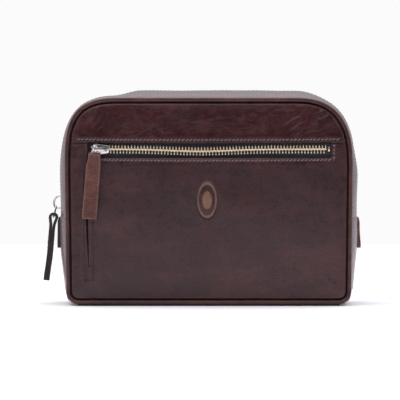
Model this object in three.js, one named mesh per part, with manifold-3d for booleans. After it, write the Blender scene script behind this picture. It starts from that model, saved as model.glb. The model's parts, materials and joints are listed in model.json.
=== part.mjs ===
// Leather wash bag: a soft box with a two-way gusset, a long zip over its top, and a flat zipped pocket
// on its front. Millimetres, +X to the right, the front panel faces -Y, +Z up, and the origin is at the
// centre of the flat base.
import * as THREE from "three";
import { mergeVertices } from "three/addons/utils/BufferGeometryUtils.js";
import Module from "manifold-3d";

const wasm = await Module();
wasm.setup();

// Body, measured on the centre line of the piping.
const HALF_WIDTH = 125;
const TOP_Z = 182.4;
const BOTTOM_Z = 2.7;
const TOP_RADIUS = 43;
const BOTTOM_RADIUS = 9;
const PIPING_RADIUS = 2;
const PIPING_Y = 50;
const CURVE_SEGMENTS = 7;

// Gusset: a strip right round the body that swells between the two panels.
const GUSSET_HALF_DEPTH = 47.6;
const GUSSET_SWELL = 5.8;
const GUSSET_THICKNESS = 2.2;
const GUSSET_FLAT = 2;
const GUSSET_STEPS = 4;
const BASE_THICKNESS = 2.4;
const GAP = 0.3;
const BASE_SEAM_Z = 13;

// The mouth: the front and its gusset strip fold forward on this line as the main zip is opened.
const FOLD_Z = 72;
const FOOT_TOP_Z = 100;
const FAR = 400;

// Front panel, cut into a yoke, a pocket panel and a side strip.
const PANEL_INSET = PIPING_RADIUS + GAP;
const PANEL_FRONT_Y = -53.4;
const PANEL_THICKNESS = 2.6;
const BACK_PANEL_Y = 51.2;
const WINDOW_LEFT_X = -104;
const WINDOW_RIGHT_X = 108;
const WINDOW_BOTTOM_Z = 131;
const WINDOW_TOP_Z = 145;
const SLIT_X = -106;

// Zips. Both have the same chain, slider, ring and leather pull.
const TEETH_THICKNESS = 2.8;
const TEETH_HALF_WIDTH = 3.6;
const TEETH_PITCH = 2.8;
const TOOTH_WIDTH = 1;
const TOOTH_REACH = 0.9;
const TOOTH_ROOT = 1.5;
const TAPE_THICKNESS = 0.5;
const TAPE_INNER = 4;
const TAPE_OUTER = 16;
const ZIP_WINDOW = 7;
const POCKET_ZIP_Z = 138;
const POCKET_TEETH_Y = -50.35;
const POCKET_TEETH_LEFT_X = -100.4;
const POCKET_TEETH_RIGHT_X = 104;
const POCKET_TAPE_OVERRUN = 8;
const MAIN_TEETH_OFFSET = -1.45;
const MAIN_TAPE_OFFSET = -2.5;
const MAIN_TEETH_FOOT_Z = 81;
const STOP_LENGTH = 3;
const STOP_HALF_GAP = 1;

const SLIDER_LENGTH = 15;
const SLIDER_WIDE = 5;
const SLIDER_NARROW = 4;
const PLATE_THICKNESS = 1.5;
const CROWN_HALF_LENGTH = 6;
const CROWN_HEIGHT = 7.5;
const CROWN_LEG = 2;
const CROWN_BAND = 1.6;
const CROWN_HALF_WIDTH = 1.3;
const MAIN_SLIDER_Z = 89;
const MAIN_SLIDER_X = -129.65;
const POCKET_SLIDER_X = -95;
const POCKET_SLIDER_Y = -52.05;

const RING_WIRE = 1.6;
const RING_APEX_RADIUS = 2;
const RING_LENGTH = 7;
const RING_HALF_WIDTH = 2.2;
const POCKET_RING_Y = -57.9;
const POCKET_LEAN = 4.7;
const MAIN_RING_X = -135.6;
const MAIN_RING_Z = 86.5;
const MAIN_RING_LEAN = 14;
const MAIN_TAB_LEAN = 6;

const PULL_HEAD_RADIUS = 4;
const PULL_EYE_RADIUS = 1.7;
const PULL_HALF_THICKNESS = 2.2;
const PULL_LENGTH = 54.5;
const PULL_HALF_WIDTH = 6.4;
const PULL_TOP_HALF_WIDTH = 5.2;
const PULL_SHOULDER = 8;
const PULL_SLOT_HALF_WIDTH = 4.1;
const PULL_SLOT_DEPTH = 2;

const END_TAB_TOP_Z = 77;
const END_TAB_TIP_Z = 49.5;
const END_TAB_X = 131.1;
const END_TAB_THICKNESS = 2.2;
const END_TAB_WIDTH = 14;
const END_TAB_STAND_OFF = 0.8;

// Lining and stiffener.
const LINING_THICKNESS = 0.6;
const LINING_OFFSET = -3.5;
const LINING_FRONT_Y = -46.15;
const LINING_BACK_Y = 48.3;
const LINING_WINDOW = 8;
const BOARD_BOTTOM_Z = 2.7;
const BOARD_THICKNESS = 1.5;
const BOARD_HALF_X = 112;
const BOARD_HALF_Y = 42;
const POCKET_LINING_Y = -46.95;
const POCKET_LINING_THICKNESS = 0.5;
const POCKET_LINING_HALF_X = 113;
const POCKET_LINING_BOTTOM_Z = 14;
const POCKET_LINING_TOP_Z = 152;

const LEATHER = { color: 0x4a3034, roughness: 0.38, metalness: 0 };
const PULL_LEATHER = { color: 0x5c3a36, roughness: 0.5, metalness: 0 };
const TAPE = { color: 0x17151b, roughness: 0.9, metalness: 0 };
const GOLD = { color: 0xd8c49a, roughness: 0.3, metalness: 1 };
const SILVER = { color: 0xdcdad6, roughness: 0.22, metalness: 1 };
const LINING = { color: 0x2a2529, roughness: 0.9, metalness: 0 };
const BOARD = { color: 0x6b5a48, roughness: 0.95, metalness: 0 };

// Solids. Every closed geometry becomes a manifold once, so that it can be cut by its neighbours.

function solidOf(geometry) {
  const bare = geometry.index ? geometry.toNonIndexed() : geometry.clone();
  bare.deleteAttribute("normal");
  bare.deleteAttribute("uv");
  const merged = mergeVertices(bare, 1e-4);
  const mesh = new wasm.Mesh({
    numProp: 3,
    vertProperties: new Float32Array(merged.attributes.position.array),
    triVerts: new Uint32Array(merged.index.array),
  });
  return new wasm.Manifold(mesh);
}

function geometryOf(solid) {
  const mesh = solid.getMesh();
  const geometry = new THREE.BufferGeometry();
  geometry.setAttribute("position", new THREE.BufferAttribute(new Float32Array(mesh.vertProperties), 3));
  geometry.setIndex(new THREE.BufferAttribute(new Uint32Array(mesh.triVerts), 1));
  geometry.computeVertexNormals();
  return geometry;
}

function piece(name, solid, finish) {
  const material = new THREE.MeshStandardMaterial({ ...finish, flatShading: true });
  const mesh = new THREE.Mesh(geometryOf(solid), material);
  mesh.name = name;
  return mesh;
}

function box(x0, x1, y0, y1, z0, z1) {
  const geometry = new THREE.BoxGeometry(x1 - x0, y1 - y0, z1 - z0);
  geometry.translate((x0 + x1) / 2, (y0 + y1) / 2, (z0 + z1) / 2);
  return solidOf(geometry);
}

const below = (z) => box(-FAR, FAR, -FAR, FAR, -FAR, z - GAP / 2);
const above = (z) => box(-FAR, FAR, -FAR, FAR, z + GAP / 2, FAR);
const between = (z0, z1) => box(-FAR, FAR, -FAR, FAR, z0 + GAP / 2, z1 - GAP / 2);
const leftOf = (x) => box(-FAR, x, -FAR, FAR, -FAR, FAR);
const rightOf = (x) => box(x, FAR, -FAR, FAR, -FAR, FAR);
const depth = (y0, y1) => box(-FAR, FAR, y0, y1, -FAR, FAR);

// The outline of the body in the XZ plane, grown by an offset: large top corners, small bottom ones.
function outline(offset, Kind = THREE.Shape) {
  const side = HALF_WIDTH + offset;
  const top = TOP_Z + offset;
  const bottom = BOTTOM_Z - offset;
  const topX = HALF_WIDTH - TOP_RADIUS;
  const topZ = TOP_Z - TOP_RADIUS;
  const bottomX = HALF_WIDTH - BOTTOM_RADIUS;
  const bottomZ = BOTTOM_Z + BOTTOM_RADIUS;
  const shape = new Kind();
  shape.moveTo(-bottomX, bottom);
  shape.lineTo(bottomX, bottom);
  shape.absarc(bottomX, bottomZ, BOTTOM_RADIUS + offset, -Math.PI / 2, 0, false);
  shape.lineTo(side, topZ);
  shape.absarc(topX, topZ, TOP_RADIUS + offset, 0, Math.PI / 2, false);
  shape.lineTo(-topX, top);
  shape.absarc(-topX, topZ, TOP_RADIUS + offset, Math.PI / 2, Math.PI, false);
  shape.lineTo(-side, bottomZ);
  shape.absarc(-bottomX, bottomZ, BOTTOM_RADIUS + offset, Math.PI, Math.PI * 1.5, false);
  return shape;
}

// A flat plate of a shape drawn in XZ, from y0 (front) to y1 (back).
function plate(shape, y0, y1, bevel = 0) {
  const geometry = new THREE.ExtrudeGeometry(shape, {
    depth: y1 - y0 - 2 * bevel,
    bevelEnabled: bevel > 0,
    bevelThickness: bevel,
    bevelSize: bevel,
    bevelOffset: -bevel,
    bevelSegments: 1,
    curveSegments: CURVE_SEGMENTS,
  });
  geometry.rotateX(Math.PI / 2);
  geometry.translate(0, y1 - bevel, 0);
  return solidOf(geometry);
}

// The swollen body: the outline grows by an elliptical curve from both edges to the middle.
function barrel(offset) {
  const geometry = new THREE.ExtrudeGeometry(outline(0), {
    depth: GUSSET_FLAT,
    bevelEnabled: true,
    bevelThickness: GUSSET_HALF_DEPTH - GUSSET_FLAT / 2,
    bevelSize: GUSSET_SWELL,
    bevelOffset: offset,
    bevelSegments: GUSSET_STEPS,
    curveSegments: CURVE_SEGMENTS,
  });
  geometry.rotateX(Math.PI / 2);
  geometry.translate(0, GUSSET_FLAT / 2, 0);
  return solidOf(geometry);
}

function shell(outer, inner) {
  const core = barrel(inner).add(plate(outline(inner), -FAR, FAR));
  return barrel(outer).subtract(core);
}

// The front and back piping: a cord with eight sides that follows the outline.
function piping(y) {
  const bevel = PIPING_RADIUS * (1 - Math.tan(Math.PI / 8));
  const shape = outline(PIPING_RADIUS);
  shape.holes.push(outline(-PIPING_RADIUS, THREE.Path));
  return plate(shape, y - PIPING_RADIUS, y + PIPING_RADIUS, bevel);
}

// Body shell.
const gusset = barrel(0)
  .subtract(
    barrel(-GUSSET_THICKNESS)
      .add(plate(outline(-GUSSET_THICKNESS), -FAR, FAR))
      .intersect(box(-FAR, FAR, -FAR, FAR, BASE_THICKNESS, FAR)),
  )
  .intersect(box(-FAR, FAR, -FAR, FAR, 0, FAR));
const frontPanel = plate(outline(-PANEL_INSET), PANEL_FRONT_Y, PANEL_FRONT_Y + PANEL_THICKNESS);
const backPanel = plate(outline(-PANEL_INSET), BACK_PANEL_Y - GUSSET_THICKNESS, BACK_PANEL_Y);
const frontPiping = piping(-PIPING_Y);
const backPiping = piping(PIPING_Y);

// Pocket window, and the panel's three leather parts above the fold.
const window = box(WINDOW_LEFT_X, WINDOW_RIGHT_X, -FAR, 0, WINDOW_BOTTOM_Z, FAR);
const pocketPanel = frontPanel
  .intersect(between(FOLD_Z, WINDOW_TOP_Z))
  .intersect(rightOf(SLIT_X + GAP / 2))
  .subtract(window);
const sideStrip = frontPanel.intersect(between(FOLD_Z, WINDOW_TOP_Z)).intersect(leftOf(SLIT_X - GAP / 2));

// Main zip, over the top of the body from foot to foot.
const mainTape = shell(MAIN_TAPE_OFFSET, MAIN_TAPE_OFFSET - TAPE_THICKNESS).intersect(above(FOLD_Z));
const mainTeeth = shell(MAIN_TEETH_OFFSET, MAIN_TEETH_OFFSET - TEETH_THICKNESS)
  .intersect(above(MAIN_TEETH_FOOT_Z));
const toBack = (solid, near, far) => solid.intersect(depth(near, far));
const toFront = (solid, near, far) => solid.intersect(depth(-far, -near));

function mainStop(side, y0, y1) {
  const outer = side * (Math.abs(MAIN_SLIDER_X) - GAP);
  const inner = outer - side * TEETH_THICKNESS;
  return box(
    Math.min(inner, outer), Math.max(inner, outer),
    y0, y1,
    MAIN_TEETH_FOOT_Z - GAP - STOP_LENGTH, MAIN_TEETH_FOOT_Z - GAP,
  );
}

// Pocket zip: two combs whose teeth mesh, on two tapes.
function comb(side) {
  const shape = new THREE.Shape();
  const tip = -side * TOOTH_REACH;
  const root = side * TOOTH_ROOT;
  const outer = side * TEETH_HALF_WIDTH;
  const shift = side > 0 ? 0 : TEETH_PITCH / 2;
  const first = POCKET_TEETH_LEFT_X + shift;
  const count = Math.floor((POCKET_TEETH_RIGHT_X - first) / TEETH_PITCH);
  shape.moveTo(first, outer);
  for (let i = 0; i < count; i += 1) {
    const x = first + i * TEETH_PITCH;
    shape.lineTo(x, tip);
    shape.lineTo(x + TOOTH_WIDTH, tip);
    shape.lineTo(x + TOOTH_WIDTH, root);
    if (i < count - 1) {
      shape.lineTo(x + TEETH_PITCH, root);
    }
  }
  shape.lineTo(first + (count - 1) * TEETH_PITCH + TOOTH_WIDTH, outer);
  const half = TEETH_THICKNESS / 2;
  return plate(shape, POCKET_TEETH_Y - half, POCKET_TEETH_Y + half).translate([0, 0, POCKET_ZIP_Z]);
}

function pocketTape(side) {
  const near = POCKET_ZIP_Z + side * TAPE_INNER;
  const far = POCKET_ZIP_Z + side * TAPE_OUTER;
  return box(
    POCKET_TEETH_LEFT_X - POCKET_TAPE_OVERRUN, POCKET_TEETH_RIGHT_X + POCKET_TAPE_OVERRUN,
    PANEL_FRONT_Y + PANEL_THICKNESS + GAP, PANEL_FRONT_Y + PANEL_THICKNESS + GAP + TAPE_THICKNESS,
    Math.min(near, far), Math.max(near, far),
  );
}

function pocketStop(x, near, far) {
  const half = TEETH_THICKNESS / 2;
  return box(
    x, x + STOP_LENGTH,
    POCKET_TEETH_Y - half, POCKET_TEETH_Y + half,
    POCKET_ZIP_Z + near, POCKET_ZIP_Z + far,
  );
}

// Slider, in its own frame: x along the zip, y across it, z outward from the teeth.
function sliderPlate() {
  const end = SLIDER_LENGTH / 2;
  const shape = new THREE.Shape();
  shape.moveTo(-end, -SLIDER_WIDE + 1);
  shape.quadraticCurveTo(-end, -SLIDER_WIDE, -end + 2, -SLIDER_WIDE);
  shape.lineTo(0, -SLIDER_WIDE);
  shape.lineTo(end, -SLIDER_NARROW);
  shape.lineTo(end, SLIDER_NARROW);
  shape.lineTo(0, SLIDER_WIDE);
  shape.lineTo(-end + 2, SLIDER_WIDE);
  shape.quadraticCurveTo(-end, SLIDER_WIDE, -end, SLIDER_WIDE - 1);
  return shape;
}

function flatSolid(shape, thickness) {
  const options = { depth: thickness, bevelEnabled: false, curveSegments: 3 };
  return solidOf(new THREE.ExtrudeGeometry(shape, options));
}

function sliderTop() {
  const arch = new THREE.Shape();
  const top = PLATE_THICKNESS + CROWN_HEIGHT;
  const inner = CROWN_HALF_LENGTH - CROWN_LEG;
  arch.moveTo(-CROWN_HALF_LENGTH, PLATE_THICKNESS / 2);
  arch.lineTo(-inner, PLATE_THICKNESS / 2);
  arch.lineTo(-inner, top - CROWN_BAND - 1);
  arch.lineTo(-inner + 1, top - CROWN_BAND);
  arch.lineTo(inner - 1, top - CROWN_BAND);
  arch.lineTo(inner, top - CROWN_BAND - 1);
  arch.lineTo(inner, PLATE_THICKNESS / 2);
  arch.lineTo(CROWN_HALF_LENGTH, PLATE_THICKNESS / 2);
  arch.lineTo(CROWN_HALF_LENGTH, top - 3);
  arch.quadraticCurveTo(CROWN_HALF_LENGTH, top, inner - 1, top);
  arch.lineTo(-inner + 1, top);
  arch.quadraticCurveTo(-CROWN_HALF_LENGTH, top, -CROWN_HALF_LENGTH, top - 3);
  const crown = flatSolid(arch, 2 * CROWN_HALF_WIDTH)
    .rotate([90, 0, 0])
    .translate([0, CROWN_HALF_WIDTH, 0]);
  return flatSolid(sliderPlate(), PLATE_THICKNESS).add(crown);
}

function sliderBack() {
  const drop = 2 * GAP + TEETH_THICKNESS + PLATE_THICKNESS - 0.1;
  return flatSolid(sliderPlate(), PLATE_THICKNESS - 0.1).translate([0, 0, -drop]);
}

// Ring, in its own frame: an egg-shaped loop in the XY plane, its small end round the origin.
function ring() {
  const loop = (radius, corner, Kind) => {
    const low = -RING_LENGTH - corner;
    const wide = RING_HALF_WIDTH + radius - RING_APEX_RADIUS;
    const shape = new Kind();
    shape.moveTo(-wide, low);
    shape.lineTo(wide, low);
    shape.lineTo(radius, 0);
    shape.absarc(0, 0, radius, 0, Math.PI, false);
    return shape;
  };
  const shape = loop(RING_APEX_RADIUS + RING_WIRE, RING_WIRE / 2, THREE.Shape);
  shape.holes.push(loop(RING_APEX_RADIUS, -RING_WIRE / 2, THREE.Path));
  return flatSolid(shape, RING_WIRE).translate([0, 0, -RING_WIRE / 2]);
}

// Leather pull, in its own frame: it hangs down -Y from an eye round the ring's lower bar at the origin.
// Its fold is slotted on the outward side (+Z) so that the ring can swing in it.
function pull() {
  const side = new THREE.Shape();
  side.moveTo(-PULL_HALF_THICKNESS, -PULL_LENGTH);
  side.lineTo(PULL_HALF_THICKNESS, -PULL_LENGTH);
  side.lineTo(PULL_HALF_THICKNESS, -2.5 * PULL_HEAD_RADIUS);
  side.absarc(0, 0, PULL_HEAD_RADIUS, -Math.PI / 8, Math.PI * 9 / 8, false);
  side.lineTo(-PULL_HALF_THICKNESS, -2.5 * PULL_HEAD_RADIUS);
  const eye = new THREE.Path();
  eye.absarc(0, 0, PULL_EYE_RADIUS, 0, Math.PI * 2, true);
  side.holes.push(eye);
  const options = { depth: 2 * PULL_HALF_WIDTH, bevelEnabled: false, curveSegments: 7 };
  const folded = new THREE.ExtrudeGeometry(side, options);
  folded.translate(0, 0, -PULL_HALF_WIDTH);
  folded.rotateY(-Math.PI / 2);
  const face = new THREE.Shape();
  face.moveTo(-PULL_HALF_WIDTH + 1, -PULL_LENGTH - 1);
  face.lineTo(PULL_HALF_WIDTH - 1, -PULL_LENGTH - 1);
  face.lineTo(PULL_HALF_WIDTH, -PULL_LENGTH + 2);
  face.lineTo(PULL_HALF_WIDTH, -PULL_SHOULDER);
  face.lineTo(PULL_TOP_HALF_WIDTH, PULL_HEAD_RADIUS + 1);
  face.lineTo(-PULL_TOP_HALF_WIDTH, PULL_HEAD_RADIUS + 1);
  face.lineTo(-PULL_HALF_WIDTH, -PULL_SHOULDER);
  face.lineTo(-PULL_HALF_WIDTH, -PULL_LENGTH + 2);
  const slot = box(
    -PULL_SLOT_HALF_WIDTH, PULL_SLOT_HALF_WIDTH,
    -PULL_SLOT_DEPTH, FAR,
    -PULL_SLOT_DEPTH, FAR,
  );
  return solidOf(folded)
    .intersect(flatSolid(face, 4 * PULL_HEAD_RADIUS).translate([0, 0, -2 * PULL_HEAD_RADIUS]))
    .subtract(slot);
}

// Placing. The pocket zip runs along X and faces -Y, the main slider runs along Z and faces -X.
const POCKET_BASIS = new THREE.Matrix4().makeBasis(
  new THREE.Vector3(1, 0, 0),
  new THREE.Vector3(0, 0, 1),
  new THREE.Vector3(0, -1, 0),
);
const MAIN_BASIS = new THREE.Matrix4().makeBasis(
  new THREE.Vector3(0, 0, 1),
  new THREE.Vector3(0, 1, 0),
  new THREE.Vector3(-1, 0, 0),
);
const MAIN_HANGING_BASIS = new THREE.Matrix4().makeBasis(
  new THREE.Vector3(0, -1, 0),
  new THREE.Vector3(0, 0, 1),
  new THREE.Vector3(-1, 0, 0),
);

function placed(solid, basis, x, y, z) {
  const matrix = new THREE.Matrix4().makeTranslation(x, y, z).multiply(basis);
  return solidOf(geometryOf(solid).applyMatrix4(matrix));
}

function swung(solid, x, z, degrees) {
  return solid.translate([-x, 0, -z]).rotate([0, degrees, 0]).translate([x, 0, z]);
}

const pocketSliderTop = placed(sliderTop(), POCKET_BASIS, POCKET_SLIDER_X, POCKET_SLIDER_Y, POCKET_ZIP_Z);
const pocketSliderBack = placed(sliderBack(), POCKET_BASIS, POCKET_SLIDER_X, POCKET_SLIDER_Y, POCKET_ZIP_Z);
const mainSliderTop = placed(sliderTop(), MAIN_BASIS, MAIN_SLIDER_X, 0, MAIN_SLIDER_Z);
const mainSliderBack = placed(sliderBack(), MAIN_BASIS, MAIN_SLIDER_X, 0, MAIN_SLIDER_Z);

const POCKET_PIVOT_X = POCKET_SLIDER_X - CROWN_HALF_LENGTH + CROWN_LEG / 2;
const pocketRing = swung(
  placed(ring(), POCKET_BASIS, POCKET_PIVOT_X, POCKET_RING_Y, POCKET_ZIP_Z),
  POCKET_PIVOT_X, POCKET_ZIP_Z, POCKET_LEAN,
);
const pocketPull = swung(
  placed(pull(), POCKET_BASIS, POCKET_PIVOT_X, POCKET_RING_Y, POCKET_ZIP_Z - RING_LENGTH),
  POCKET_PIVOT_X, POCKET_ZIP_Z, POCKET_LEAN,
);

const RING_APEX = RING_APEX_RADIUS + RING_WIRE / 2;
const MAIN_BAR_DROP = RING_LENGTH + RING_APEX;
const mainRing = swung(
  placed(ring(), MAIN_HANGING_BASIS, MAIN_RING_X, 0, MAIN_RING_Z - RING_APEX),
  MAIN_RING_X, MAIN_RING_Z, MAIN_RING_LEAN,
);
const leanRadians = THREE.MathUtils.degToRad(MAIN_RING_LEAN);
const MAIN_BAR_X = MAIN_RING_X - MAIN_BAR_DROP * Math.sin(leanRadians);
const MAIN_BAR_Z = MAIN_RING_Z - MAIN_BAR_DROP * Math.cos(leanRadians);
const mainPull = swung(
  placed(pull(), MAIN_HANGING_BASIS, MAIN_BAR_X, 0, MAIN_BAR_Z),
  MAIN_BAR_X, MAIN_BAR_Z, MAIN_TAB_LEAN,
);

// Leather tab at each end of the main zip, hinged at its top edge.
function endTab(side) {
  const half = END_TAB_THICKNESS / 2;
  const shape = new THREE.Shape();
  const top = END_TAB_TOP_Z - half;
  const tip = END_TAB_X + END_TAB_STAND_OFF;
  shape.moveTo(side * tip, END_TAB_TIP_Z);
  shape.lineTo(side * (tip + END_TAB_THICKNESS), END_TAB_TIP_Z);
  shape.lineTo(side * (END_TAB_X + END_TAB_THICKNESS), top);
  shape.absarc(side * (END_TAB_X + half), top, half, side > 0 ? 0 : Math.PI, side > 0 ? Math.PI : 0, side < 0);
  return plate(shape, -END_TAB_WIDTH / 2, END_TAB_WIDTH / 2);
}

// Lining: a thin bag inside the shell, split at the fold and open along the zip.
const liningFrontInner = LINING_FRONT_Y + LINING_THICKNESS;
const liningBackInner = LINING_BACK_Y - LINING_THICKNESS;
const boardTop = BOARD_BOTTOM_Z + BOARD_THICKNESS;
const lining = plate(outline(LINING_OFFSET), LINING_FRONT_Y, LINING_BACK_Y)
  .subtract(plate(outline(LINING_OFFSET - LINING_THICKNESS), liningFrontInner, liningBackInner))
  .subtract(box(-FAR, FAR, -LINING_WINDOW, LINING_WINDOW, FOLD_Z, FAR));
const liningFrontZone = box(-FAR, FAR, -FAR, liningFrontInner + GAP / 2, FOLD_Z + GAP / 2, FAR)
  .add(box(-FAR, FAR, -FAR, 0, FOOT_TOP_Z + GAP / 2, FAR));
const liningBodyZone = box(-FAR, FAR, -FAR, FAR, -FAR, FOLD_Z - GAP / 2)
  .add(box(-FAR, FAR, liningFrontInner + GAP, FAR, -FAR, FOOT_TOP_Z - GAP / 2))
  .add(box(-FAR, FAR, 0, FAR, -FAR, FAR));

function pocketLining(z0, z1) {
  return box(
    -POCKET_LINING_HALF_X, POCKET_LINING_HALF_X,
    POCKET_LINING_Y, POCKET_LINING_Y + POCKET_LINING_THICKNESS,
    z0, z1,
  );
}

// Assembly: one group for each rigid body.
const body = new THREE.Group();
const sideGussets = gusset.intersect(between(BASE_SEAM_Z, FOLD_Z));
const footStrips = toFront(gusset, ZIP_WINDOW, FAR).intersect(between(FOLD_Z, FOOT_TOP_Z));
const footTape = toFront(mainTape, TAPE_INNER, TAPE_OUTER).intersect(below(FOOT_TOP_Z));
const footTeeth = toFront(mainTeeth, GAP / 2, TEETH_HALF_WIDTH).intersect(below(FOOT_TOP_Z));
body.add(
  piece("back_panel", backPanel, LEATHER),
  piece("back_piping", backPiping, LEATHER),
  piece("base_gusset", gusset.intersect(below(BASE_SEAM_Z)), LEATHER),
  piece("gusset_strip_back", toBack(gusset, ZIP_WINDOW, FAR).intersect(above(FOLD_Z)), LEATHER),
  piece("front_panel_lower", frontPanel.intersect(below(FOLD_Z)), LEATHER),
  piece("front_piping_lower", frontPiping.intersect(below(FOLD_Z)), LEATHER),
  piece("main_zip_tape_back", toBack(mainTape, TAPE_INNER, TAPE_OUTER), TAPE),
  piece("main_zip_teeth_back", toBack(mainTeeth, GAP / 2, TEETH_HALF_WIDTH), GOLD),
  piece("main_zip_top_stop_front", mainStop(-1, -TEETH_HALF_WIDTH, -STOP_HALF_GAP), GOLD),
  piece("main_zip_top_stop_back", mainStop(-1, STOP_HALF_GAP, TEETH_HALF_WIDTH), GOLD),
  piece("main_zip_bottom_stop", mainStop(1, -TEETH_HALF_WIDTH, TEETH_HALF_WIDTH), GOLD),
  piece("lining_body", lining.intersect(liningBodyZone), LINING),
  piece("base_board", box(
    -BOARD_HALF_X, BOARD_HALF_X, -BOARD_HALF_Y, BOARD_HALF_Y, BOARD_BOTTOM_Z, boardTop,
  ), BOARD),
  piece("pocket_lining_lower", pocketLining(POCKET_LINING_BOTTOM_Z, FOLD_Z - GAP / 2), LINING),
);
for (const [word, half] of [["left", leftOf(0)], ["right", rightOf(0)]]) {
  body.add(
    piece(`side_gusset_${word}`, sideGussets.intersect(half), LEATHER),
    piece(`gusset_strip_foot_${word}`, footStrips.intersect(half), LEATHER),
    piece(`main_zip_tape_foot_${word}`, footTape.intersect(half), TAPE),
    piece(`main_zip_teeth_foot_${word}`, footTeeth.intersect(half), GOLD),
  );
}

const flap = new THREE.Group();
flap.add(
  piece("front_yoke", frontPanel.intersect(above(WINDOW_TOP_Z)), LEATHER),
  piece("front_pocket_panel", pocketPanel, LEATHER),
  piece("front_side_strip", sideStrip, LEATHER),
  piece("front_piping_upper", frontPiping.intersect(above(FOLD_Z)), LEATHER),
  piece("gusset_strip_front", toFront(gusset, ZIP_WINDOW, FAR).intersect(above(FOOT_TOP_Z)), LEATHER),
  piece("main_zip_tape_front", toFront(mainTape, TAPE_INNER, TAPE_OUTER).intersect(above(FOOT_TOP_Z)), TAPE),
  piece("main_zip_teeth_front", toFront(mainTeeth, GAP / 2, TEETH_HALF_WIDTH)
    .intersect(above(FOOT_TOP_Z)), GOLD),
  piece("lining_front", lining.intersect(liningFrontZone), LINING),
  piece("pocket_lining_upper", pocketLining(FOLD_Z + GAP / 2, POCKET_LINING_TOP_Z), LINING),
  piece("pocket_zip_tape_upper", pocketTape(1), TAPE),
  piece("pocket_zip_tape_lower", pocketTape(-1), TAPE),
  piece("pocket_zip_teeth_upper", comb(1), GOLD),
  piece("pocket_zip_teeth_lower", comb(-1), GOLD),
  piece("pocket_zip_top_stop_upper", pocketStop(
    POCKET_TEETH_LEFT_X - GAP - STOP_LENGTH, STOP_HALF_GAP, TEETH_HALF_WIDTH,
  ), GOLD),
  piece("pocket_zip_top_stop_lower", pocketStop(
    POCKET_TEETH_LEFT_X - GAP - STOP_LENGTH, -TEETH_HALF_WIDTH, -STOP_HALF_GAP,
  ), GOLD),
  piece("pocket_zip_bottom_stop", pocketStop(
    POCKET_TEETH_RIGHT_X + GAP, -TEETH_HALF_WIDTH, TEETH_HALF_WIDTH,
  ), GOLD),
);

const pocketRunner = new THREE.Group();
pocketRunner.add(
  piece("pocket_slider_top", pocketSliderTop, SILVER),
  piece("pocket_slider_back", pocketSliderBack, SILVER),
);
const mainRunner = new THREE.Group();
mainRunner.add(
  piece("main_slider_top", mainSliderTop, SILVER),
  piece("main_slider_back", mainSliderBack, SILVER),
);

const bag = new THREE.Group();
bag.add(
  body,
  flap,
  pocketRunner,
  mainRunner,
  piece("pocket_ring", pocketRing, SILVER),
  piece("pocket_pull_tab", pocketPull, PULL_LEATHER),
  piece("main_ring", mainRing, SILVER),
  piece("main_pull_tab", mainPull, PULL_LEATHER),
  piece("zip_end_tab_left", endTab(-1), PULL_LEATHER),
  piece("zip_end_tab_right", endTab(1), PULL_LEATHER),
);

export default bag;
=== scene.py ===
"""Leather shaving kit bag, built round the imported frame. Metres, +X right, the front faces -Y, +Z up."""
import json
import math
import random

import bpy
import numpy as np
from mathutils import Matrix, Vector
from mathutils.geometry import delaunay_2d_cdt


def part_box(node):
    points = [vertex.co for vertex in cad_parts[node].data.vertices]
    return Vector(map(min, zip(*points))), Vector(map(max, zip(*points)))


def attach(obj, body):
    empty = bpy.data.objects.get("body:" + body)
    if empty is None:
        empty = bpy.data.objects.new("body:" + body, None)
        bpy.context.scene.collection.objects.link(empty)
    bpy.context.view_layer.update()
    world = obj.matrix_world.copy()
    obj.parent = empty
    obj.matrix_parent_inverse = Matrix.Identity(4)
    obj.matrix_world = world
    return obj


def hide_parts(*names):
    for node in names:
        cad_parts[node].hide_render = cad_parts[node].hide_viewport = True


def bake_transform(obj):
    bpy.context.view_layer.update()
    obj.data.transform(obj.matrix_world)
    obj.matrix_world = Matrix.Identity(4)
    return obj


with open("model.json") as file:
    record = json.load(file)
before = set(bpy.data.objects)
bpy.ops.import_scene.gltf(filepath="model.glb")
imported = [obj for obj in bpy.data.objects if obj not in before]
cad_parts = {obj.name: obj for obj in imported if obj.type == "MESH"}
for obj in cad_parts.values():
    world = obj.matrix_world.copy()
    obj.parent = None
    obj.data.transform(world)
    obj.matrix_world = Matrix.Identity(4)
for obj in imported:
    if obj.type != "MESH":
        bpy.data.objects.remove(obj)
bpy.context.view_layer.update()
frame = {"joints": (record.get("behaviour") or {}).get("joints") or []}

MM = 0.001

# Driving dimensions, from the frame.
PIPE_LOW, PIPE_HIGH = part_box("back_piping")
PIPE_RADIUS = (PIPE_HIGH.y - PIPE_LOW.y) / 2
PIPE_Y = PIPE_LOW.y + PIPE_RADIUS
SIDE_X = PIPE_HIGH.x - PIPE_RADIUS
TOP_SINK = 0.9 * MM
BOTTOM_RISE = 0.6 * MM
TOP_Z = PIPE_HIGH.z - PIPE_RADIUS - TOP_SINK
BOTTOM_Z = PIPE_LOW.z + PIPE_RADIUS + BOTTOM_RISE
GUSSET_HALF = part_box("base_gusset")[1].y
FOLD_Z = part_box("side_gusset_left")[1].z
WINDOW_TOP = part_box("front_yoke")[0].z
JOINT = {joint["name"]: joint for joint in frame["joints"]}

# Outline of the panels: superellipse top corners, looser on the right, and small round bottom corners.
TOP_CORNER_WIDTH = 50 * MM
TOP_CORNER_HEIGHT = 60 * MM
CORNER_POWER_LEFT = 3.2
CORNER_POWER_RIGHT = 2.62
BOTTOM_CORNER = 9 * MM
FOOT_TAPER = 1.8 * MM
TAPER_TOP = 75 * MM
OUTLINE_STEP = 1 * MM

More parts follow.
